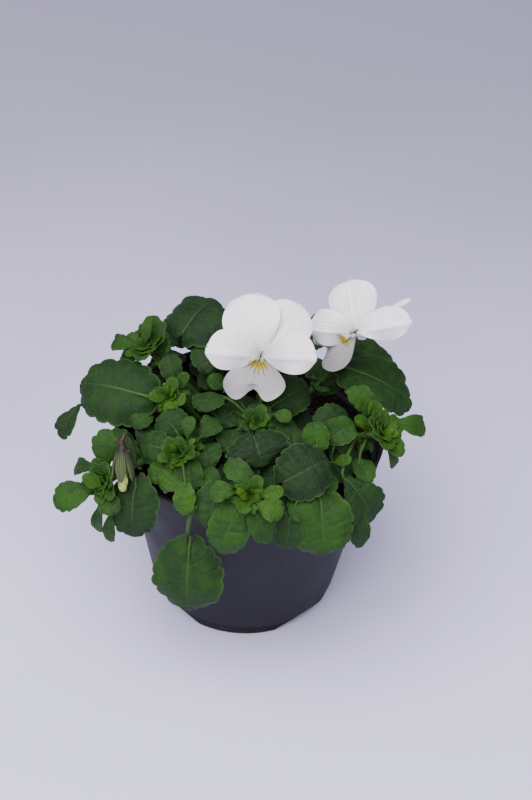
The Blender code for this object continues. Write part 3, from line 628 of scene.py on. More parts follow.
def shaped(sheet, base, axes, along, across, rise, thickness, **settings):
    """Moves the points of a sheet to their places, given in millimetres, and thickens it."""
    points = sum(np.outer(reach, axis) for reach, axis in zip((along, across, rise), axes))
    points = points * MM + np.array(base)
    sheet.data.vertices.foreach_set("co", points.astype(np.float32).ravel())
    sheet.data.update()
    modify(sheet, "SOLIDIFY", thickness=thickness * MM, offset=-1.0, **settings)


def mark(obj, label, values):
    """Stores a number on each point of a mesh, for its finish to read."""
    layer = obj.data.attributes.get(label) or obj.data.attributes.new(label, "FLOAT", "POINT")
    count = len(obj.data.vertices)
    layer.data.foreach_set("value", np.broadcast_to(np.asarray(values, np.float32), count).copy())


def smooth(values):
    """Eases numbers from 0 to 1 in and out."""
    held = np.clip(values, 0.0, 1.0)
    return held * held * (3.0 - 2.0 * held)


def phase(draw):
    """A random start for a wave."""
    return draw.uniform(0.0, math.tau)


def leaf_edge(form, length, width, s):
    """How far along and across the edge of a blade lies, for shares of the way round it."""
    half = width / 2.0
    if form == "round":
        first = math.radians(ROUND_FIRST_ANGLE)
        angle = first + (math.pi - first) * np.maximum(s, SINUS_SHARE)
        along = ROUND_CENTRE * length - (1.0 - ROUND_CENTRE) * length * np.cos(angle)
        across = half * np.sin(angle)
        opened = smooth(s / SINUS_SHARE)
        return along * opened, NECK_HALF + (across - NECK_HALF) * opened
    share = 0.5 - 0.5 * np.cos(math.pi * s)
    across = half * np.sin(math.pi * s) * share ** TAPER[form] * PEAK[form]
    return length * share, np.maximum(across, NECK_HALF)


def notches(s, teeth, depths):
    """How deep the edge is notched between its rounded teeth, as a share."""
    nearest = np.clip(np.round(s * teeth), 0, teeth).astype(int)
    away = np.abs(s * teeth - nearest)
    return depths[nearest] * (1.0 - np.sin(math.pi * np.minimum(away, 0.5))) ** 1.5


def blade_axes(base, tip, facing):
    """The length of a blade in millimetres, and its directions along, across and out of its face."""
    along = tip - base
    length = along.length / MM
    along.normalize()
    face = (facing - along * facing.dot(along)).normalized()
    return length, along, along.cross(face), face


def facing_of(base):
    """The way that a leaf faces: towards the light and a little outwards."""
    outward = Vector((base.x, base.y, 0.0))
    if outward.length > 0.0:
        outward.normalize()
    return LIGHT + outward * LOOK_OUTWARD


def blade_outline(form, length, width, u, s, draw):
    """How far along and across each point of a blade lies, up to its scalloped edge."""
    reach = np.abs(u)
    teeth = widest_match(TEETH_BY_WIDTH, width)
    left, right = (np.array([draw.uniform(*TOOTH_RANGE) for k in range(teeth + 1)])
                   for hand in range(2))
    for depths in (left, right):
        depths[0] = depths[-1] = 0.0
    uneven = s + TOOTH_SHIFT / teeth * np.sin(math.tau * 1.5 * s + phase(draw))
    cut = np.where(u < 0.0, notches(uneven, teeth, left), notches(uneven, teeth, right))
    kept = 1.0 - cut * TOOTH_DEPTH[form]
    edge_along, edge_across = leaf_edge(form, length, width, s)
    middle = ROUND_CENTRE * length
    edge_along = middle + (edge_along - middle) * kept
    rib_along = length * (s if form == "round" else (0.5 - 0.5 * np.cos(math.pi * s)) ** 1.25)
    along = rib_along + (edge_along - rib_along) * reach ** 1.25
    return along, np.sign(u) * edge_across * kept * reach


def blade_relief(form, length, width, u, s, along, across, cup, draw):
    """How far each point of a blade rises: arch, cup, twist, veins, cells and a wavy edge."""
    reach = np.abs(u)
    share = np.clip(along / length, -0.3, 1.0)
    scale = width / RELIEF_WIDTH
    if cup is None:
        small = form == "round" and width < SMALL_ROUND
        cup = draw.uniform(*(SMALL_ROUND_CUP if small else CUP[form]))
    rise = 4.0 * ARCH[form] * length * share * (1.0 - share)
    rise += cup * 2.0 * across * across / width
    rise += draw.uniform(-TWIST, TWIST) * across * (share - 0.3)
    rise -= MARGIN_CURL * width * smooth((reach - 0.6) / 0.4)
    rise -= TIP_CURL * length * np.maximum(share - 0.7, 0.0) ** 1.5
    rise -= RIB_SINK * scale * np.exp(-(across / (RIB_HALF * scale)) ** 2)
    between_veins = np.abs(np.sin(math.pi * s * VEIN_PAIRS)) ** 0.7
    rise += PLEAT_HEIGHT * scale * between_veins * np.sin(math.pi * np.clip(reach * 1.02, 0.0, 1.0))
    waves = draw.uniform(*EDGE_WAVES)
    start = np.where(u < 0.0, phase(draw), phase(draw))
    along_waves = np.sin(math.tau * along / BLISTER_LENGTH + 0.8 * across + phase(draw))
    across_waves = np.sin(math.tau * across / BLISTER_LENGTH - 0.6 * along + phase(draw))
    rise += BLISTER_HEIGHT * min(scale * 1.6, 1.0) * along_waves * across_waves
    swing = draw.uniform(*EDGE_SWING) * width
    held = smooth(s * 4.0) * smooth((1.0 - s) * 5.0)
    return rise + swing * reach ** 2.5 * np.sin(math.tau * waves * s + start) * held


def leaf_blade(name, base, tip, width, form, tone, facing, draw, cup=None):
    """A leaf's blade: a thin closed sheet with a face, an underside and a tone of green."""
    length, *axes = blade_axes(base, tip, facing)
    obj, u, v = sheet_copy(widest_match(SHEET_BY_WIDTH, width), name, [leaf_face, leaf_underside])
    s = v * TIP_END
    along, across = blade_outline(form, length, width, u, s, draw)
    rise = blade_relief(form, length, width, u, s, along, across, cup, draw)
    shaped(obj, base, axes, along, across, rise, BLADE_THICKNESS, material_offset=1)
    mark(obj, "tone", tone)
    return obj


def rib_points(base, tip, form, facing, width, before):
    """Points along a blade's midrib: over its lobes where the stalk comes from above, then under it."""
    length, along_axis, _, face = blade_axes(base, tip, facing)
    over = form == "round" and (before - base).dot(face) > 0.0
    sunk = RIB_SINK * width / RELIEF_WIDTH + BLADE_THICKNESS * 0.75
    shares = [(-0.18, 0.7), (0.02, 0.3)] if over else [(0.0, -0.3)]
    shares += [(share, -sunk) for share in (0.2, 0.4, 0.6, 0.78)]
    points = []
    for share, lift in shares:
        rise = 4.0 * ARCH[form] * length * share * (1.0 - share)
        points.append(base + (along_axis * share * length + face * (rise + lift)) * MM)
    return points


def smooth_path(points, steps):
    """Points along a smooth curve through the given points."""
    result = []
    count = len(points)
    for k in range(count - 1):
        before = points[max(k - 1, 0)]
        start = points[k]
        end = points[k + 1]
        beyond = points[min(k + 2, count - 1)]
        for step in range(steps):
            t = step / steps
            result.append(
                0.5 * (2 * start + (end - before) * t
                       + (2 * before - 5 * start + 4 * end - beyond) * t * t
                       + (3 * start - before - 3 * end + beyond) * t * t * t))
    result.append(points[-1].copy())
    return result


def stalk(name, points, radii, tone, finish=stalk_finish, roundness=2):
    """A round stalk along points in metres, with a radius in millimetres at each."""
    line = bpy.data.curves.new(name, "CURVE")
    line.dimensions = "3D"
    line.bevel_depth = 1.0
    line.bevel_resolution = roundness
    line.use_fill_caps = True
    spline = line.splines.new("POLY")
    spline.points.add(len(points) - 1)
    for spot, point, radius in zip(spline.points, points, radii):
        spot.co = (*point, 1.0)
        spot.radius = radius * MM
    obj = bpy.data.objects.new(name, line)
    bpy.context.scene.collection.objects.link(obj)
    only([obj])
    bpy.ops.object.convert(target="MESH")
    obj = bpy.context.object
    obj.data.materials.clear()
    obj.data.materials.append(finish)
    bpy.ops.object.shade_smooth()
    mark(obj, "tone", tone)
    return obj


def leaf_with_stalk(name, base, tip, width, form, tone, draw, start, via):
    """A leaf's blade and the stalk that runs from the stem into its midrib."""
    facing = facing_of(base)
    blade = leaf_blade(name, base, tip, width, form, tone, facing, draw)
    reach = (base - start).length / MM
    route = [start]
    if via:
        route += [metres(point) for point in reversed(via)]
    elif reach >= SHORT_PETIOLE:
        route.append(start.lerp(base, 0.5) + Vector((0.0, 0.0, PETIOLE_ARCH * reach * MM)))
    path = smooth_path(route + rib_points(base, tip, form, facing, width, route[-1]), 3)
    run = np.cumsum([0.0] + [(b - a).length for a, b in zip(path, path[1:])])
    thick = PETIOLE_RADIUS * (0.45 + width / 30.0)
    radii = thick * (1.0 - PETIOLE_TAPER * (run / run[-1]) ** 1.6)
    stalk_tone = 0.3 + 0.7 * tone if tone > 0.2 else 0.1
    return [blade, stalk(name + "_stalk", path, radii, stalk_tone)]


def stipules(name, start, towards, up, tone, draw):
    """The small lobed leaflets where a leaf's stalk leaves the stem, some on each side."""
    made = []
    side = towards.cross(up)
    if side.length < 0.01:
        side = up.orthogonal()
    side.normalize()
    for k, hand in enumerate(STIPULE_HANDS):
        out = (towards * draw.uniform(0.3, 1.0) + side * hand * draw.uniform(0.4, 1.0)
               + up * draw.uniform(-0.3, 0.45)).normalized()
        length = STIPULE_LENGTH * draw.uniform(0.75, 1.15)
        width = length * draw.uniform(0.34, 0.46)
        own_tone = min(1.0, tone + draw.uniform(-0.1, 0.1))
        made.append(leaf_blade(f"{name}_{k}", start + out * 0.8 * MM, start + out * length * MM,
                               width, "spoon", own_tone, up + LIGHT * LOOK_TO_LIGHT, draw))
    return made


def shoot_tip(name, top, up, count, size, tone, draw):
    """The tuft of small cupped leaves that unfold at the end of a stem, turned up to the light."""
    made = []
    up = (up + Vector((0.0, 0.0, TUFT_LIFT))).normalized()
    side = up.orthogonal().normalized()
    for k in range(count):
        turn = math.tau * (k * TUFT_TURN + draw.uniform(-0.04, 0.04))
        out = Matrix.Rotation(turn, 3, up) @ side
        direction = (up + out * (TUFT_LEAN[0] + TUFT_LEAN[1] * k / count)).normalized()
        length = size * (TUFT_LENGTH[0] + TUFT_LENGTH[1] * k / count) * draw.uniform(0.85, 1.15)
        facing = (up - out * TUFT_LOOK_INWARD + LIGHT * LOOK_TO_LIGHT).normalized()
        width = length * draw.uniform(0.55, 0.75)
        own_tone = tone + draw.uniform(-0.15, 0.1)
        made.append(leaf_blade(f"{name}_{k}", top + direction * 0.4 * MM,
                               top + direction * length * MM, width, "young", own_tone, facing, draw))
    return made


def leafy_stem(where, seed, foot, path, leaves, tip_leaves=9, tip_size=7.5, tip_tone=0.7, extras=()):
    """One stem with all that grows on it, as one piece that stands for its node."""
    name = "shoot_" + where
    node_name = "stem_" + where
    draw = random.Random(seed)
    root = metres((*foot, STEM_ROOT))
    collar = metres((*foot, STEM_COLLAR))
    course = [root] + smooth_path([collar] + [metres(point) for point in path], 5)
    last = len(course) - 1
    radii = [STEM_RADIUS * (1.0 - STEM_TAPER * k / last) for k in range(last + 1)]
    made = [stalk(name, course, radii, 0.5, roundness=4)]
    up = (course[-1] - course[-3]).normalized()
    made += shoot_tip(name + "_tip", course[-1], up, tip_leaves, tip_size, tip_tone, draw)
    for k, (base, tip, width, form, tone, *way) in enumerate(leaves):
        via = way[0] if way else None
        base = metres(base)
        towards = metres(via[-1]) if via else base
        start = min(course[1:], key=lambda point: (point - towards).length)
        label = f"{name}_leaf_{k}"
        made += leaf_with_stalk(label, base, metres(tip), width, form, tone, draw, start, via)
        away = (towards - start).normalized() if (towards - start).length > 0.0 else up
        made += stipules(label + "_stipule", start + away * 1.2 * MM, away, up, tone + 0.15, draw)
    piece = joined(made + list(extras), name)
    bpy.ops.object.shade_smooth_by_angle(angle=math.radians(50.0))
    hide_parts(node_name)
    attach(piece, "root")


# A leaf is: the ends of its blade, its width, its form, its tone from old to young, and where its
# stalk takes a way of its own, the points that the stalk passes on the way back to the stem.
leafy_stem("top_left", 1, (-12, 10), [(-22, 13, 86), (-34, 15, 97), (-41, 15, 105)], [
    ((-41, 15, 106), (-40, 22, 118), 13, "round", 0.45),
    ((-43, 14, 110), (-41, 16, 122), 6, "young", 0.75),
    ((-46, 15, 108), (-57, 17, 106), 9, "spoon", 0.50),
    ((-44, 18, 103), (-53, 27, 97), 14, "round", 0.35),
    ((-38, 20, 97), (-30, 31, 93), 13, "round", 0.30),
    ((-37, 14, 103), (-34, 16, 111), 7, "young", 0.60),
    ((-24, 17, 84), (-35, 21, 88), 11, "round", 0.20),
    ((-33, 17, 93), (-42, 27, 92), 12, "round", 0.30),
], tip_leaves=22, tip_size=11.0, tip_tone=0.75)


# The left shoot
# It carries the broad leaf that spreads over the left side of the rim, and the slim leaf that
# hangs down beyond it, with a tuft of bright young leaves between.
leafy_stem("left", 2, (-15, 1), [(-23, 0, 87), (-28, -3, 96), (-31, -8, 101)], [
    ((-40, -8, 101), (-68, 2, 98), 29, "round", 0.29),
    ((-66, -7, 95), (-73, -17, 85), 10, "spoon", 0.20, [(-50, -7, 94)]),
    ((-36, -17, 91), (-42, -22, 88), 11, "round", 0.35),
    ((-39, -13, 96), (-45, -17, 93), 9, "round", 0.45),
    ((-29, 0, 99), (-33, 8, 110), 11, "spoon", 0.35),
    ((-29, -4, 102), (-25, -2, 109), 6, "young", 0.60),
    ((-33, -10, 103), (-39, -13, 105), 6, "young", 0.80),
    ((-30, -10, 103), (-25, -12, 103), 6, "young", 0.85),
    ((-31, -11, 103), (-29, -17, 101), 6, "young", 0.85),
    ((-25, 2, 88), (-33, 10, 89), 12, "round", 0.20),
    ((-19, -4, 84), (-26, -11, 88), 11, "round", 0.15),
])


# The low left shoot, with the stalk and sepals of the bud
# It leans out over the rim at the front left. The bud nods from it on a thin stalk, in a sheath of
# five narrow striped sepals.
BUD_TOP = (-46, -42, 107)
BUD_TIP = (-45, -51, 92)
BUD_STALK = [(-42, -37, 92), (-43, -34, 101), (-45, -38, 108)]
BUD_RECEPTACLE = 2.4
BUD_RECEPTACLE_RADII = (0.9, 1.5, 1.9)
BUD_SEPALS = 5
BUD_TURN = 0.5
BUD_SEPAL_START = 1.2
BUD_SEPAL_LENGTH = 14.0
BUD_SEPAL_WIDTH = 4.6
BUD_SEPAL_SPLAY = 4.6
BUD_SEPAL_CUP = -0.22
BUD_LOBE_START = 1.0
BUD_LOBE_LENGTH = 3.2
BUD_LOBE_WIDTH = 1.6
BUD_LOBE_SPLAY = 2.4
BUD_LOBE_CUP = 0.2
FLOWER_STALK_RADIUS = 0.8
SEPAL_TONE = 0.4
SEPAL_STRIPE_WAVE = 15.7
SEPAL_PURPLE = (0.028, 0.024, 0.024)
SEPAL_GREEN = (0.062, 0.092, 0.030)
SEPAL_BROWN = (0.060, 0.045, 0.020)

dry_finish = grainy_finish("dry_sepal_lobe", 0.2, (SEPAL_BROWN, STALK_PURPLE), 1.2, (0.7, 0.9))

sepal_finish, tree, shader = new_finish("bud_sepal", 0.12)
on_map = parts_of(on_sheet(tree))
stripe = figure("ABSOLUTE", figure("SINE", times(on_map["X"], SEPAL_STRIPE_WAVE)))
patches, grain = mottled(tree, 3.0)
striped = mixed(graded(stripe, 0.2, 0.95, 0.2, 0.9), SEPAL_PURPLE, SEPAL_GREEN)
dark_top = graded(on_map["Y"], 0.6, 0.15)
feed(shader.inputs["Base Color"], mixed(dark_top, striped, SEPAL_PURPLE))
roughened(shader, grain, 0.5, 0.65)
bumped(shader, stripe, 0.12)


def sepal(name, base, tip, width, facing, cup, finish=None):
    """A narrow pointed sepal; with no finish of its own it is green like a young leaf."""
    draw = random.Random(name)
    made = leaf_blade(name, base, tip, width, "young", SEPAL_TONE, facing, draw, cup)
    if finish:
        made.data.materials.clear()
        made.data.materials.append(finish)
    return made


def flower_stalk(name, points, ends, tone):
    """The thin stalk of a flower, through points in millimetres and then the ends in metres."""
    route = smooth_path([metres(point) for point in points] + ends, 6)
    return stalk(name, route, [FLOWER_STALK_RADIUS] * len(route), tone, roundness=3)


bud_top = metres(BUD_TOP)
bud_down = (metres(BUD_TIP) - bud_top).normalized()
bud_side = bud_down.orthogonal().normalized()
bud_middle = bud_top + bud_down * BUD_RECEPTACLE / 2.0 * MM
bud_end = bud_top + bud_down * BUD_RECEPTACLE * MM
bud_parts = [stalk("bud_receptacle", [bud_top, bud_middle, bud_end], BUD_RECEPTACLE_RADII, 0.0,
                   roundness=4)]
for k in range(BUD_SEPALS):
    out = Matrix.Rotation(math.tau * (k + BUD_TURN) / BUD_SEPALS, 3, bud_down) @ bud_side
    tip = bud_top + (bud_down * BUD_SEPAL_LENGTH + out * BUD_SEPAL_SPLAY) * MM
    bud_parts.append(sepal(f"bud_sepal_{k}", bud_middle + out * BUD_SEPAL_START * MM, tip,
                           BUD_SEPAL_WIDTH, out, BUD_SEPAL_CUP, sepal_finish))
    tip = bud_middle + (out * BUD_LOBE_SPLAY - bud_down * BUD_LOBE_LENGTH) * MM
    bud_parts.append(sepal(f"bud_lobe_{k}", bud_middle + out * BUD_LOBE_START * MM, tip,
                           BUD_LOBE_WIDTH, out, BUD_LOBE_CUP, dry_finish))
bud_parts.append(flower_stalk("bud_stalk", BUD_STALK, [bud_top, bud_middle], 0.15))

leafy_stem("low_left", 3, (-18, -13), [(-33, -27, 88), (-44, -38, 91), (-51, -45, 90)], [
    ((-45, -30, 92), (-57, -20, 89), 14, "round", 0.35),
    ((-52, -42, 92), (-53, -35, 107), 11, "spoon", 0.55),
    ((-56, -38, 90), (-66, -32, 84), 8, "spoon", 0.35),
    ((-55, -47, 88), (-71, -52, 84), 13, "spoon", 0.60),
    ((-53, -49, 91), (-60, -49, 96), 6, "young", 0.85),
    ((-53, -51, 86), (-46, -56, 86), 9, "round", 0.55),
    ((-53, -48, 84), (-55, -50, 68), 6, "spoon", 0.50),
    ((-49, -50, 82), (-50, -54, 67), 6, "spoon", 0.45),
    ((-41, -47, 92), (-41, -56, 72), 20, "round", 0.25),
    ((-37, -25, 85), (-42, -17, 86), 10, "round", 0.20),
    ((-27, -22, 84), (-33, -14, 86), 11, "round", 0.15),
], tip_leaves=18, tip_size=10.0, extras=bud_parts)


# The middle left shoot
# It fills the gap between the two left shoots and the front, with many small leaves and bracts.
leafy_stem("mid_left", 4, (-9, -11), [(-15, -22, 85), (-21, -30, 92), (-25, -36, 97)], [
    ((-27, -24, 97), (-33, -17, 102), 14, "round", 0.35),
    ((-31, -33, 97), (-41, -29, 95), 14, "round", 0.40),
    ((-23, -31, 100), (-22, -25, 107), 6, "spoon", 0.60),
    ((-19, -27, 97), (-12, -19, 101), 10, "spoon", 0.50),
    ((-17, -28, 95), (-14, -37, 92), 13, "round", 0.40),
    ((-28, -38, 99), (-31, -41, 103), 8, "young", 0.75),
    ((-32, -38, 94), (-34, -45, 90), 8, "round", 0.65),
    ((-22, -39, 96), (-20, -46, 88), 11, "round", 0.50),
    ((-16, -40, 93), (-11, -46, 90), 9, "round", 0.45),
    ((-26, -42, 93), (-31, -47, 89), 9, "round", 0.70),
    ((-22, -52, 96), (-22, -58, 87), 8.5, "round", 0.80),
    ((-8, -15, 82), (-3, -23, 85), 10, "round", 0.15),
    ((-14, -14, 84), (-23, -16, 88), 11, "round", 0.20),
    ((-20, -32, 88), (-27, -38, 86), 10, "round", 0.25),
], tip_leaves=12, tip_size=9.0)


# The front shoot
# Its tip is the bright rosette over the rim at the front, and its oldest leaf hangs down the pot.
leafy_stem("front", 5, (-2, -19), [(0, -36, 86), (1, -48, 92), (2, -55, 96)], [
    ((5, -51, 98), (-8, -46, 103), 10, "spoon", 0.60),
    ((-3, -55, 97), (-13, -55, 97), 9, "spoon", 0.70),
    ((6, -57, 98), (14, -55, 100), 6, "young", 0.85),
    ((4, -59, 97), (14, -63, 95), 10, "spoon", 0.80),
    ((1, -59, 97), (-1, -64, 96), 6, "young", 0.85),
    ((4, -60, 93), (10, -64, 81), 10, "round", 0.45),
    ((-3, -57, 91), (-8, -63, 73), 16, "round", 0.62),
    ((-10.5, -50, 94), (-13, -59, 82), 15, "round", 0.42),
    ((-20, -56, 67.5), (-20, -62, 39.5), 28, "round", 0.42,
     [(-20.5, -57.5, 79), (-18.5, -55, 88), (-11, -50, 89)]),
    ((-4, -30, 84), (-10, -38, 86), 11, "round", 0.20),
    ((4, -37, 88), (13, -38, 90), 11, "round", 0.20),
])


# The centre shoot, with the stalk and sepals of the front bloom
# A bloom's stalk ends in a small green cup, and five sepals spread from the cup behind the petals.
BLOOM_FRONT = {"throat": (3, -4.5, 122), "facing": (-0.03, -0.80, 0.60), "spin": 0,
               "stalk": [(3, -16, 97), (4, -4, 103), (4, 4, 112), (4, 4, 117)]}
FLOWER_TUBE = 4.0
CALYX_GAP = 0.3
CALYX_RAISE = 0.9
CALYX_LENGTH = 2.6
CALYX_RADII = (1.3, 1.4, 1.0)
SEPAL_ANGLES = (90, 30, 150, -22, 202)
SEPAL_FROM_CUP = 1.0
SEPAL_START = 0.6
SEPAL_LENGTH = 6.5
SEPAL_WIDTH = 2.6
SEPAL_LEAN_BACK = 1.6
SEPAL_CUP = 0.1


def flower_frame(plan):
    """The throat of a bloom, and the directions to its right, its top and its front."""
    facing = Vector(plan["facing"]).normalized()
    side = Vector((0.0, 0.0, 1.0)).cross(facing).normalized()
    spin = Matrix.Rotation(math.radians(plan["spin"]), 3, facing)
    return metres(plan["throat"]), spin @ side, spin @ facing.cross(side), facing


def in_flower(place, across, height, forward):
    """A point given in millimetres across, up and in front of the throat of a bloom."""
    throat, side, up, facing = place
    return throat + (side * across + up * height + facing * forward) * MM


def calyx_and_stalk(name, plan):
    """The sepals behind a bloom and the stalk that carries it."""
    place = flower_frame(plan)
    _, side, up, facing = place
    seat = -FLOWER_TUBE - CALYX_GAP
    cup = [in_flower(place, 0, CALYX_RAISE, seat - CALYX_LENGTH * share) for share in (0.0, 0.5, 1.0)]
    made = [stalk(name + "_calyx", cup, CALYX_RADII, 0.5, roundness=4)]
    middle = in_flower(place, 0, CALYX_RAISE, seat - SEPAL_FROM_CUP)
    for k, angle in enumerate(SEPAL_ANGLES):
        turn = math.radians(angle)
        out = side * math.cos(turn) + up * math.sin(turn)
        tip = middle + (out * SEPAL_LENGTH - facing * SEPAL_LEAN_BACK) * MM
        made.append(sepal(f"{name}_sepal_{k}", middle + out * SEPAL_START * MM, tip, SEPAL_WIDTH,
                          facing, SEPAL_CUP))
    made.append(flower_stalk(name + "_stalk", plan["stalk"], [cup[2], cup[1]], 0.45))
    return made


leafy_stem("centre", 6, (1, -5), [(1, -9, 86), (2, -14, 94), (3, -18, 99)], [
    ((2, -31, 104), (6, -39, 96), 25, "round", 0.06, [(3, -24, 97)]),
    ((3, -12, 103), (4, -20, 98), 10, "round", 0.25),
    ((9, -14, 101), (16, -16, 101), 6, "young", 0.60),
    ((-7, -10, 97), (-12, -16, 97), 12, "round", 0.30),
    ((-15, -8, 105), (-18, -18, 104), 13, "round", 0.35),
    ((10, -3, 97), (22, 8, 99), 17, "round", 0.30),
    ((-6, -18, 95), (-7, -28, 92), 12, "round", 0.30),
    ((-4, -13, 94), (-5, -1, 98), 12, "round", 0.30),
    ((9, -20, 94), (14, -8, 97), 14, "round", 0.35),
    ((-10, -4, 104), (-17, -2, 108), 7, "young", 0.55),
    ((0, 3, 84), (-5, 12, 88), 10, "round", 0.15),
    ((-3, -6, 84), (-12, 0, 87), 11, "round", 0.15),
], extras=calyx_and_stalk("bloom_front", BLOOM_FRONT))


# The middle right shoot
# The dark kidney-shaped leaf beside the front rosette and the big bright leaf over the rim.
leafy_stem("mid_right", 7, (10, -15), [(17, -28, 87), (21, -38, 93), (24, -44, 95)], [
    ((14, -48, 97), (30, -40, 103), 22, "round", 0.10),
    ((27, -12, 95), (38, -5, 96), 13, "round", 0.35),
    ((33, -31, 93), (39, -33, 97), 5, "young", 0.70),
    ((29, -37, 92), (32, -45, 89), 8, "round", 0.50),
    ((18, -27, 94), (16, -15, 97), 13, "round", 0.35),
    ((26, -30, 98), (24, -22, 105), 11, "round", 0.65),
    ((31, -24, 99), (40, -18, 102), 11, "round", 0.55),
    ((19, -49, 91), (24, -56, 85), 11, "round", 0.60),
    ((28, -50, 91), (30, -59, 71), 25, "round", 0.60),
    ((17, -56, 87), (16, -60, 74), 11, "round", 0.30),
    ((14, -45, 88), (15, -54, 84), 10, "round", 0.20),
    ((20, -23, 84), (28, -19, 87), 10, "round", 0.20),
], tip_leaves=5, tip_size=3.5)


# The right shoot
# Its tip is the bright cluster over the right of the rim; its older leaves hang in front of it.
leafy_stem("right", 8, (18, -6), [(31, -11, 87), (42, -14, 92), (49, -16, 95)], [
    ((47, -10, 98), (38, -4, 108), 12, "spoon", 0.70),
    ((48, -12, 99), (47, -10, 107), 7, "young", 0.80),
    ((52, -15, 97), (59, -15, 94), 8, "round", 0.65),
    ((54, -11, 97), (69, -8, 92), 10, "spoon", 0.60),
    ((53, -20, 93), (57, -21, 83), 6, "spoon", 0.55),
    ((36, -36, 92), (49, -42, 74), 20, "spoon", 0.30),
    ((43, -28, 92), (46, -37, 88), 9, "round", 0.55),
    ((41, -44, 81), (45, -49, 66), 9, "round", 0.35),
    ((50, -19, 97), (47, -25, 102), 6, "young", 0.80),
    ((45, -14, 95), (41, -11, 100), 6, "young", 0.75),
    ((18, -2, 84), (22, 8, 86), 10, "round", 0.15),
    ((33, -7, 86), (42, -1, 86), 11, "round", 0.20),
    ((34, -15, 86), (41, -22, 84), 11, "round", 0.20),
    ((33, -22, 85), (37, -32, 84), 12, "round", 0.25),
], tip_leaves=24, tip_size=11.0, tip_tone=0.85)


# The back left shoot
# It carries the tall dark leaf behind the blooms, which shows its pale grey veins.
leafy_stem("back_left", 9, (-5, 16), [(-12, 22, 86), (-19, 24, 96), (-24, 24, 104)], [
    ((-29, 20, 111), (-17, 36, 118), 30, "round", 0.14),
    ((-19, 16, 96), (-14, 10, 92), 11, "round", 0.30),
    ((-20, 19, 109), (-17, 6, 103), 13, "round", 0.35),
    ((-24, 33, 100), (-38, 46, 96), 20, "round", 0.40),
    ((-15, 33, 98), (-14, 52, 94), 18, "round", 0.35),
    ((-9, 14, 82), (-14, 4, 86), 10, "round", 0.15),
    ((-16, 26, 88), (-26, 32, 88), 12, "round", 0.25),
    ((-13, 27, 86), (-16, 39, 88), 12, "round", 0.30),
])


# The back right shoot, with the stalk and sepals of the right bloom
# Its broad leaf spreads level under the right bloom.
BLOOM_RIGHT = {"throat": (39, 10.7, 124), "facing": (-0.48, -0.74, 0.47), "spin": 8,
               "stalk": [(33, 20, 98), (38, 22, 107), (43, 23, 118), (43, 20, 123)]}

leafy_stem("back_right", 10, (14, 12), [(22, 16, 86), (29, 19, 93), (33, 20, 99)], [
    ((38, 18, 100), (65, 11, 88), 25, "round", 0.38),
    ((38, 30, 101), (46, 30, 104), 9, "round", 0.45),
    ((40, 32, 94), (58, 42, 88), 20, "round", 0.40),
    ((26, 10, 96), (27, 3, 100), 8, "round", 0.40),
    ((24, 24, 92), (22, 38, 90), 13, "round", 0.35),
    ((26, 19, 88), (36, 26, 88), 12, "round", 0.30),
], extras=calyx_and_stalk("bloom_right", BLOOM_RIGHT))


# The back shoot
# It isn't seen from the front but for one thin stalk with a small leaf beside the right bloom.
leafy_stem("back", 12, (3, 24), [(5, 33, 86), (7, 41, 93), (8, 47, 98)], [
    ((12, 48, 98), (26, 58, 92), 18, "round", 0.40),
    ((2, 52, 97), (-5, 66, 88), 19, "round", 0.40),
    ((10, 54, 94), (14, 68, 82), 15, "round", 0.45),
    ((8, 42, 101), (3, 34, 108), 10, "spoon", 0.55),
    ((16, 40, 97), (30, 40, 97), 14, "round", 0.40),
    ((23, 29, 113), (24, 29, 118), 3, "young", 0.20),
    ((-2, 36, 92), (-8, 26, 94), 12, "round", 0.35),
    ((3, 30, 84), (-6, 36, 88), 11, "round", 0.25),
    ((8, 36, 86), (14, 44, 88), 10, "round", 0.30),
])


# The front bloom
# Five thin petals overlap round a short tube. The two at the sides are folded and bearded, and the
# lowest is notched, with a yellow eye and dark whiskers that lead to the throat.
SIDE_PETALS = (2, 3)
LOWER_PETAL = 4
# Each petal has an angle round the throat, a length, a width, how far it lies in front, how far it
# leans forward, how far it is rolled, how deep its notch is, and how much one half is longer.
BLOOM_FRONT.update(eye_angle=-101, eye_drop=1.8, eye_shrink=1.0, slit_raise=0.9, petals=[
    (110, 23.5, 24, -2.2, -4, 0, 0.0, 0.0),
    (54, 24, 22, -3.4, -6, 0, 0.0, 0.0),
    (176, 20.5, 17, 0.3, 5, 0, 0.0, 0.0),
    (6, 20.5, 17.5, 0.3, 5, 0, 0.0, 0.0),
    (-99, 19.5, 25, -0.8, -6, 0, 0.32, 0.14)])
PETAL_THICKNESS = 0.4
PETAL_START = 0.5
PETAL_NECK = 1.5
PETAL_TAPER = 0.3
PETAL_PEAK = 1.1
PETAL_EDGE_WAVE = 0.018
PETAL_ARCH = 0.06
PETAL_CUP = -0.08
LOWER_CUP = -0.20
PETAL_RUFFLE = 0.045
PETAL_RIPPLE = 0.08
PETAL_GROOVE = 0.35
PETAL_GROOVE_HALF = 0.9
PETAL_STEPS = (44, 56)
NOTCH_HALF_SHARE = 0.15
LOWER_GROOVE = 0.5
LOWER_GROOVE_SHARE = 0.10
FOLD_AT = 0.05
FOLD_TURN = 0.25
FOLD_RIDGE = 0.4
FOLD_DEPTH = 3.6
FOLD_POINT = 1.0
# How far each point of the tube lies in front of the throat, and its radius.
TUBE = ((-1.4, 1.7), (-2.2, 2.2), (-3.0, 2.35), (-FLOWER_TUBE, 2.3))
# How far each point of the spur lies in front of the throat, and above it.
SPUR = ((-3.0, -1.6), (-5.0, -2.6), (-9.5, -3.1))
SPUR_RADIUS = 1.1
SPUR_TAPER = 0.4
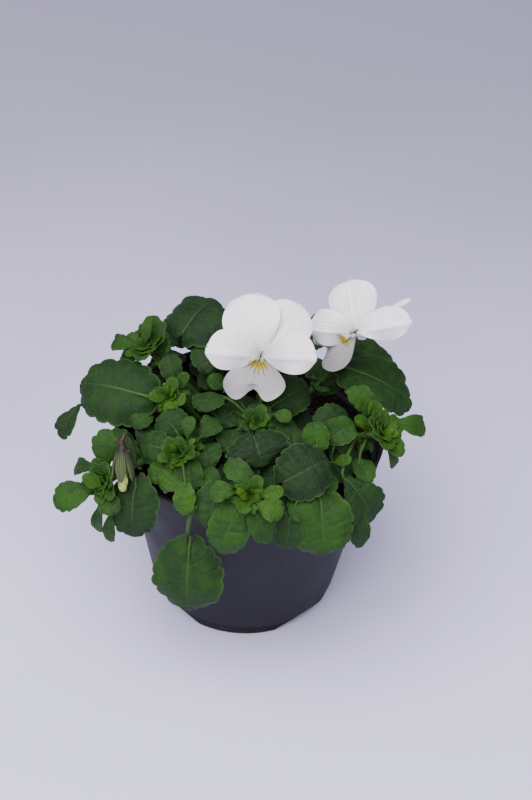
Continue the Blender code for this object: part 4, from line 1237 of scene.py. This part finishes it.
# How high each point of the throat's dark slit lies, away from the eye, and its radius.
# The slit is a dark body of painted shade, for the shaded opening of the throat.
SLIT = ((1.2, 0.15), (0.3, 0.28), (-0.9, 0.30), (-1.9, 0.5), (-2.4, 0.25))
STIGMA_RADIUS = 0.4
BEARD_HAIRS = 60
BEARD_AWAY = (0.6, 1.7)
BEARD_BELOW = (0.6, 2.4)
HAIR_LENGTH = (0.5, 1.1)
HAIR_RADII = (0.12, 0.07)
EYE_REACH = 4.0
EYE_HALF_ANGLE = 1.25
WHISKER_REACH = 5.6
WHISKER_GAP = 0.36
WHISKER_HALF_WIDTH = 0.15
# How strongly the lowest and the side petals carry the eye, the whiskers and the painted shade.
LOWER_MARKING_AND_SHADE = 1.0
SIDE_MARKING_AND_SHADE = 0.45
FAN_LINES = 17.0
PETAL_WHITE = (0.86, 0.81, 0.855)
PETAL_SHADE = (0.50, 0.48, 0.54)
PETAL_PAINTED_SHADE = (0.27, 0.26, 0.27)
LOWER_SHADE = 0.85
EYE_YELLOW = (0.34, 0.275, 0.006)
WHISKER_PURPLE = (0.030, 0.014, 0.030)
THROAT_PAINTED_SHADE_COLOURS = ((0.020, 0.014, 0.012), (0.075, 0.065, 0.030))
STIGMA_COLOURS = ((0.16, 0.16, 0.07), (0.34, 0.33, 0.18))

petal_finish, tree, shader = new_finish("petal_white", 0.24)
on_map = parts_of(on_sheet(tree))
across = stored(tree, "flower_across")
below = stored(tree, "flower_below")
marked_and_shaded = stored(tree, "marking_and_shade")
away = figure("SQRT", figure("ADD", times(across, across), times(below, below)))
bearing = figure("ARCTAN2", across, below)
off_middle = figure("ABSOLUTE", bearing)
patches, grain = mottled(tree, 5.0)
fan = figure("FRACT", times(on_map["X"], FAN_LINES))
fan_line = graded(figure("ABSOLUTE", figure("SUBTRACT", fan, 0.5)), 0.16, 0.0)
faint = times(fan_line, graded(on_map["Y"], 1.0, 0.1, 0.02, 0.18))
white = mixed(times(patches, 0.24), PETAL_WHITE, PETAL_SHADE)
white = mixed(faint, white, PETAL_SHADE)
# Painted shade: the lowest petal is greyed all over, and every petal, the tube and the hairs grow
# greyer near the throat, for the shade under the side petals and in the throat.
low = graded(marked_and_shaded, SIDE_MARKING_AND_SHADE, LOWER_MARKING_AND_SHADE, 0.0, LOWER_SHADE)
throat_painted_shade = times(graded(away, 14.0, 1.5), graded(marked_and_shaded, 0.0, 1.0, 0.3, 0.9))
shaded_white = mixed(throat_painted_shade, mixed(low, white, PETAL_PAINTED_SHADE), PETAL_PAINTED_SHADE)
eye_edge = figure("ADD", away, graded(grain, 0.2, 0.8, -1.0, 1.0))
eye = times(graded(eye_edge, EYE_REACH + 1.0, EYE_REACH - 0.8), graded(marked_and_shaded, 0.1, 0.4),
            graded(off_middle, EYE_HALF_ANGLE + 0.15, EYE_HALF_ANGLE - 0.2))
whisker_count = figure("ADD", figure("DIVIDE", bearing, WHISKER_GAP), 100.0)
whisker_turn = figure("SUBTRACT", figure("FRACT", whisker_count), 0.5)
off_whisker = times(figure("ABSOLUTE", whisker_turn), WHISKER_GAP, away)
whisker_end = graded(figure("ADD", away, times(patches, 2.0)),
                     WHISKER_REACH, WHISKER_REACH + 1.6, 1.0, 0.0)
whisker_core = graded(off_whisker, WHISKER_HALF_WIDTH * 1.3, WHISKER_HALF_WIDTH * 0.4)
whisker = times(whisker_core, whisker_end, graded(off_middle, 1.15, 1.0),
                graded(away, 1.4, 2.2), graded(marked_and_shaded, 0.1, 0.6))
coloured = mixed(eye, shaded_white, EYE_YELLOW)
coloured = mixed(whisker, coloured, WHISKER_PURPLE)
feed(shader.inputs["Base Color"], coloured)
roughened(shader, grain, 0.55, 0.68)
shader.inputs["Subsurface Weight"].default_value = 0.15
shader.inputs["Subsurface Scale"].default_value = 1.0 * MM
shader.inputs["Sheen Weight"].default_value = 0.2
bumped(shader, figure("ADD", times(fan_line, -0.6), grain), 0.09)

# Painted shade: the slit's dark browns stand for the shade in the throat's opening.
throat_shade_finish = grainy_finish("bloom_throat_painted_shade", 0.2, THROAT_PAINTED_SHADE_COLOURS, 0.8, (0.6, 0.8))
stigma_finish = grainy_finish("bloom_stigma", 0.4, STIGMA_COLOURS, 0.5, (0.4, 0.6))
SHEETS[PETAL_STEPS] = flat_sheet(PETAL_STEPS)


def mark_flower(obj, place, plan, marking_and_shade):
    """Stores each point's place across and below the eye's top in millimetres, and its level of marking
    and painted shade, for the finish.
    """
    throat, side, up, facing = place
    turn = math.radians(plan["eye_angle"])
    down = side * math.cos(turn) + up * math.sin(turn)
    offset = (points_of(obj) - np.array(throat)) / MM * plan["eye_shrink"]
    mark(obj, "flower_across", offset @ np.array(down.cross(facing)))
    mark(obj, "flower_below", offset @ np.array(down) - plan["eye_drop"] * plan["eye_shrink"])
    mark(obj, "marking_and_shade", marking_and_shade)


def petal(name, place, k, plan, draw):
    """One petal: a thin sheet with a ruffled edge, folded at the sides and notched at the bottom."""
    angle, length, width, layer, lean, roll, notch, skew = plan["petals"][k]
    _, side, up, facing = place
    turn = math.radians(angle)
    tilt = math.radians(lean)
    out_across, out_up = math.cos(turn), math.sin(turn)
    base = in_flower(place, PETAL_START * out_across, PETAL_START * out_up, layer)
    direction = (side * out_across + up * out_up) * math.cos(tilt) + facing * math.sin(tilt)
    front = Matrix.Rotation(math.radians(roll), 3, direction) @ facing
    tip = base + direction * (length - PETAL_START) * MM
    length, *axes = blade_axes(base, tip, front)
    obj, u, v = sheet_copy(PETAL_STEPS, name, [petal_finish])
    s = v * TIP_END
    reach = np.abs(u)
    share = 0.5 - 0.5 * np.cos(math.pi * s)
    edge_across = width / 2.0 * np.sin(math.pi * s) * share ** PETAL_TAPER * PETAL_PEAK
    edge_across *= 1.0 + PETAL_EDGE_WAVE * np.sin(math.tau * 2.0 * s + phase(draw))
    edge_across = np.maximum(edge_across, PETAL_NECK * (1.0 - smooth(s * 3.0)) + 0.2)
    rib_along = length * share ** 1.2
    along = rib_along + (length * share - rib_along) * reach ** 1.3
    across = np.sign(u) * edge_across * reach
    along *= 1.0 + skew * 2.0 * across / width
    far = np.clip(along / length, 0.0, 1.0)
    notched = np.exp(-(across / (NOTCH_HALF_SHARE * width)) ** 2) * smooth((far - 0.5) / 0.5)
    along -= notch * length * notched
    rise = 4.0 * PETAL_ARCH * length * far * (1.0 - far)
    rise += (LOWER_CUP if k == LOWER_PETAL else PETAL_CUP) * 2.0 * across * across / width
    ruffle = PETAL_RUFFLE * width * draw.uniform(0.8, 1.2)
    waves = np.sin(math.tau * draw.uniform(1.5, 2.2) * s * np.where(u < 0.0, 1.0, 1.13)
                   + np.where(u < 0.0, phase(draw), phase(draw)))
    rise += ruffle * reach ** 2.2 * waves * smooth(s * 2.2) * smooth((1.0 - s) * 6.0)
    ripples = np.cos(u * 6.0 * math.pi + 2.0 * s + phase(draw))
    ripples += np.cos(u * 11.0 * math.pi + phase(draw))
    rise += PETAL_RIPPLE * ripples * smooth(s * 3.0) * (1.0 - reach)
    rise -= PETAL_GROOVE * np.exp(-(across / PETAL_GROOVE_HALF) ** 2) * (1.0 - far)
    if k in SIDE_PETALS:
        lower_hand = -1.0 if out_across < 0.0 else 1.0
        from_fold = lower_hand * across / (width / 2.0) - FOLD_AT - FOLD_TURN * far
        crease = FOLD_RIDGE * np.exp(-(from_fold / 0.2) ** 2)
        rise += (crease - FOLD_DEPTH * np.maximum(from_fold, 0.0) ** 1.1) * smooth(far * 2.5)
        along += FOLD_POINT * np.exp(-(from_fold / 0.22) ** 2) * smooth((far - 0.6) / 0.4)
    if k == LOWER_PETAL:
        rise -= LOWER_GROOVE * np.exp(-(across / (LOWER_GROOVE_SHARE * width)) ** 2) * far
    shaped(obj, base, axes, along, across, rise, PETAL_THICKNESS)
    marking_and_shade = LOWER_MARKING_AND_SHADE if k == LOWER_PETAL else SIDE_MARKING_AND_SHADE if k in SIDE_PETALS else 0.0
    mark_flower(obj, place, plan, marking_and_shade)
    return obj


def bloom(name, node_name, plan, seed):
    """A whole bloom: five petals, the tube and spur behind them, the throat's dark slit of painted
    shade, the stigma and beards.
    """
    draw = random.Random(seed)
    place = flower_frame(plan)
    _, side, up, facing = place
    petals = [petal(f"{name}_petal_{k}", place, k, plan, draw) for k in range(len(plan["petals"]))]
    tube_route = [in_flower(place, 0, 0, forward) for forward, radius in TUBE]
    tube_radii = [radius for forward, radius in TUBE]
    spur_route = smooth_path([in_flower(place, 0, height, forward) for forward, height in SPUR], 5)
    spur_end = len(spur_route) - 1
    spur_radii = [SPUR_RADIUS - SPUR_TAPER * (k / spur_end) ** 2 for k in range(spur_end + 1)]
    eye_turn = math.radians(plan["eye_angle"])
    down_across, down_up = math.cos(eye_turn), math.sin(eye_turn)
    slit_route = [in_flower(place, -height * down_across, -height * down_up, plan["slit_raise"])
                  for height, radius in SLIT]
    slit_radii = [radius for height, radius in SLIT]
    inside = [stalk(name + "_tube", tube_route, tube_radii, 0.0, petal_finish, 5),
              stalk(name + "_spur", spur_route, spur_radii, 0.0, petal_finish, 4),
              stalk(name + "_slit", slit_route, slit_radii, 0.0, throat_shade_finish, 4),
              lump(stigma_finish, STIGMA_RADIUS, 3, slit_route[0])]
    for hand in (-1.0, 1.0):
        for k in range(BEARD_HAIRS):
            away = hand * draw.uniform(*BEARD_AWAY)
            below = draw.uniform(*BEARD_BELOW)
            root = in_flower(place, below * down_across - away * down_up,
                             below * down_up + away * down_across, draw.uniform(0.6, 0.9))
            lean = (facing * draw.uniform(0.5, 1.0) - side * hand * draw.uniform(0.0, 0.8)
                    + up * draw.uniform(-0.4, 0.5)).normalized()
            end = root + lean * draw.uniform(*HAIR_LENGTH) * MM
            inside.append(stalk(f"{name}_hair", [root, end], HAIR_RADII, 0.0, petal_finish, 0))
    for part in inside:
        mark_flower(part, place, plan, 0.0)
    piece = joined(petals + inside, name)
    bpy.ops.object.shade_smooth_by_angle(angle=math.radians(60.0))
    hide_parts(node_name)
    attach(piece, "root")


bloom("front_bloom", "bloom_front", BLOOM_FRONT, 21)


# The right bloom
# It is made as the front one, and faces left and a little down; one upper petal is seen on edge.
BLOOM_RIGHT.update(eye_angle=-133, eye_drop=4.6, eye_shrink=1.35, slit_raise=0.3, petals=[
    (115, 20, 23, -2.2, -4, 0, 0.0, 0.0),
    (45, 24, 8, -2.6, -12, -70, 0.0, 0.0),
    (186, 18.5, 16, 0.3, 8, 0, 0.0, 0.0),
    (27, 22, 14, 0.3, -10, 0, 0.0, 0.0),
    (-141, 22.5, 22, -0.8, -8, 0, 0.3, 0.0)])
bloom("right_bloom", "bloom_right", BLOOM_RIGHT, 22)


# The bud's petals
# Pale yellow petals, rolled and twisted together, that show below the sepals.
BUD_FOLDS = 3
BUD_TWIST = 0.22
BUD_FOLD_DEPTH = 0.22
# How far each turn of the bud's outline lies below its top, and its radius.
BUD_SHAPE = ((2.7, 0.7), (5.0, 1.3), (10.0, 1.6), (14.0, 2.0), (16.8, 1.7), (18.2, 0.8))
BUD_YELLOW = (0.44, 0.44, 0.13)
BUD_GREENISH = (0.24, 0.30, 0.08)

bud_finish = grainy_finish("bud_petal", 0.3, (BUD_YELLOW, BUD_GREENISH), 2.5, (0.5, 0.62), 0.08)

bud_line = smooth_path([bud_top + bud_down * distance * MM for distance, radius in BUD_SHAPE], 8)
bud_reach = np.linspace(0.0, len(BUD_SHAPE) - 1.0, len(bud_line))
bud_radii = np.interp(bud_reach, range(len(BUD_SHAPE)), [radius for distance, radius in BUD_SHAPE])
bud = stalk("bud_rolled_petals", bud_line, bud_radii, 0.0, bud_finish, 12)
bud_across = bud_down.cross(bud_side)
for vertex in bud.data.vertices:
    offset = (vertex.co - bud_top) / MM
    distance = offset.dot(bud_down)
    outward = offset - bud_down * distance
    turn = math.atan2(outward.dot(bud_across), outward.dot(bud_side))
    groove = 0.5 - 0.5 * math.cos(BUD_FOLDS * turn + BUD_TWIST * math.tau * distance)
    vertex.co -= outward * BUD_FOLD_DEPTH * groove ** 3 * MM
bud = joined([bud], "bud_rolled_petals")
bpy.ops.object.shade_smooth_by_angle(angle=math.radians(60.0))
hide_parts("bud_petals")
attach(bud, "root")

# The flat sheets aren't needed any more.
for sheet in SHEETS.values():
    bpy.data.objects.remove(sheet)


# The stage
# A pale lilac-grey sheet runs back level and sweeps up far behind, under a big soft light from the
# upper left, with the camera of the photograph. The sheet and the lights are given in metres.
SHEET_HALF = 4.0
SHEET_BACK = 1.4
SHEET_RISE = 2.0
SHEET_ROUNDING = 0.6
SHEET_PALE = (0.67, 0.645, 0.93)
SHEET_FAR_SHADE = (0.27, 0.258, 0.365)
PALE_AT = -0.30
FAR_SHADE_AT = 0.50
WORLD_COLOUR = (0.90, 0.89, 0.97)
WORLD_STRENGTH = 0.50
# Each light: its name, place, size, power in watts and colour.
LIGHTS = [("key_light", (-0.40, -0.55, 1.55), 1.8, 78.0, (1.0, 0.985, 0.97)),
          ("fill_light", (0.9, -1.5, 0.9), 1.8, 9.0, (0.95, 0.96, 1.0))]
CAMERA_ELEVATION = 39.8
CAMERA_ROLL = 3.1
CAMERA_DISTANCE = 573.0
CAMERA_AIM = (5.8, 0.0, 96.0)
CAMERA_LENS = 65.57

sheet_finish, tree, shader = new_finish("studio_sheet", 0.1)
patches, grain = mottled(tree, 300.0)
# Painted shade: the sheet's colour goes from pale to grey further back, for the light that falls off
# away from the lamps.
run_back = parts_of(placed_at(tree))["Y"]
run_back = figure("ADD", run_back, graded(patches, 0.0, 1.0, -0.03, 0.03))
painted_far_shade = graded(run_back, PALE_AT, FAR_SHADE_AT)
feed(shader.inputs["Base Color"], mixed(painted_far_shade, SHEET_PALE, SHEET_FAR_SHADE))
roughened(shader, grain, 0.85, 0.95)
floor = fresh(bpy.ops.mesh.primitive_plane_add, size=2.0 * SHEET_HALF,
              location=(0.0, SHEET_BACK - SHEET_HALF, 0.0))
bpy.ops.object.transform_apply(location=True)
bpy.ops.object.mode_set(mode="EDIT")
bpy.ops.mesh.select_mode(type="EDGE")
bpy.ops.mesh.select_all(action="DESELECT")
bpy.ops.object.mode_set(mode="OBJECT")
for edge in floor.data.edges:
    edge.select = all(floor.data.vertices[end].co.y > 0.0 for end in edge.vertices)
bpy.ops.object.mode_set(mode="EDIT")
bpy.ops.mesh.extrude_region_move(TRANSFORM_OT_translate={"value": (0.0, 0.0, SHEET_RISE)})
bpy.ops.object.mode_set(mode="OBJECT")
modify(floor, "BEVEL", width=SHEET_ROUNDING, segments=16, limit_method="ANGLE")
bpy.ops.object.shade_smooth()
floor.name = "studio_sheet"
floor.data.materials.append(sheet_finish)
floor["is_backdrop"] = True

world = bpy.data.worlds.new("studio_air")
world.use_nodes = True
background = world.node_tree.nodes["Background"]
background.inputs["Color"].default_value = (*WORLD_COLOUR, 1.0)
background.inputs["Strength"].default_value = WORLD_STRENGTH
bpy.context.scene.world = world

aim = metres(CAMERA_AIM)
for name, place, size, power, colour in LIGHTS:
    bpy.ops.object.light_add(type="AREA", location=place)
    light = bpy.context.object
    light.name = name
    light.data.size = size
    light.data.energy = power
    light.data.color = colour
    light.rotation_euler = (aim - light.location).to_track_quat("-Z", "Y").to_euler()

elevation = math.radians(CAMERA_ELEVATION)
roll = math.radians(CAMERA_ROLL)
backward = Vector((0.0, -math.cos(elevation), math.sin(elevation)))
right = Vector((1.0, 0.0, 0.0))
upward = backward.cross(right)
rolled_right = right * math.cos(roll) + upward * math.sin(roll)
rolled_up = upward * math.cos(roll) - right * math.sin(roll)
bpy.ops.object.camera_add()
camera = bpy.context.object
camera.data.lens = CAMERA_LENS
turned = Matrix((rolled_right, rolled_up, backward)).transposed().to_4x4()
camera.matrix_world = Matrix.Translation(aim + backward * CAMERA_DISTANCE * MM) @ turned
bpy.context.scene.camera = camera

low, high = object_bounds()
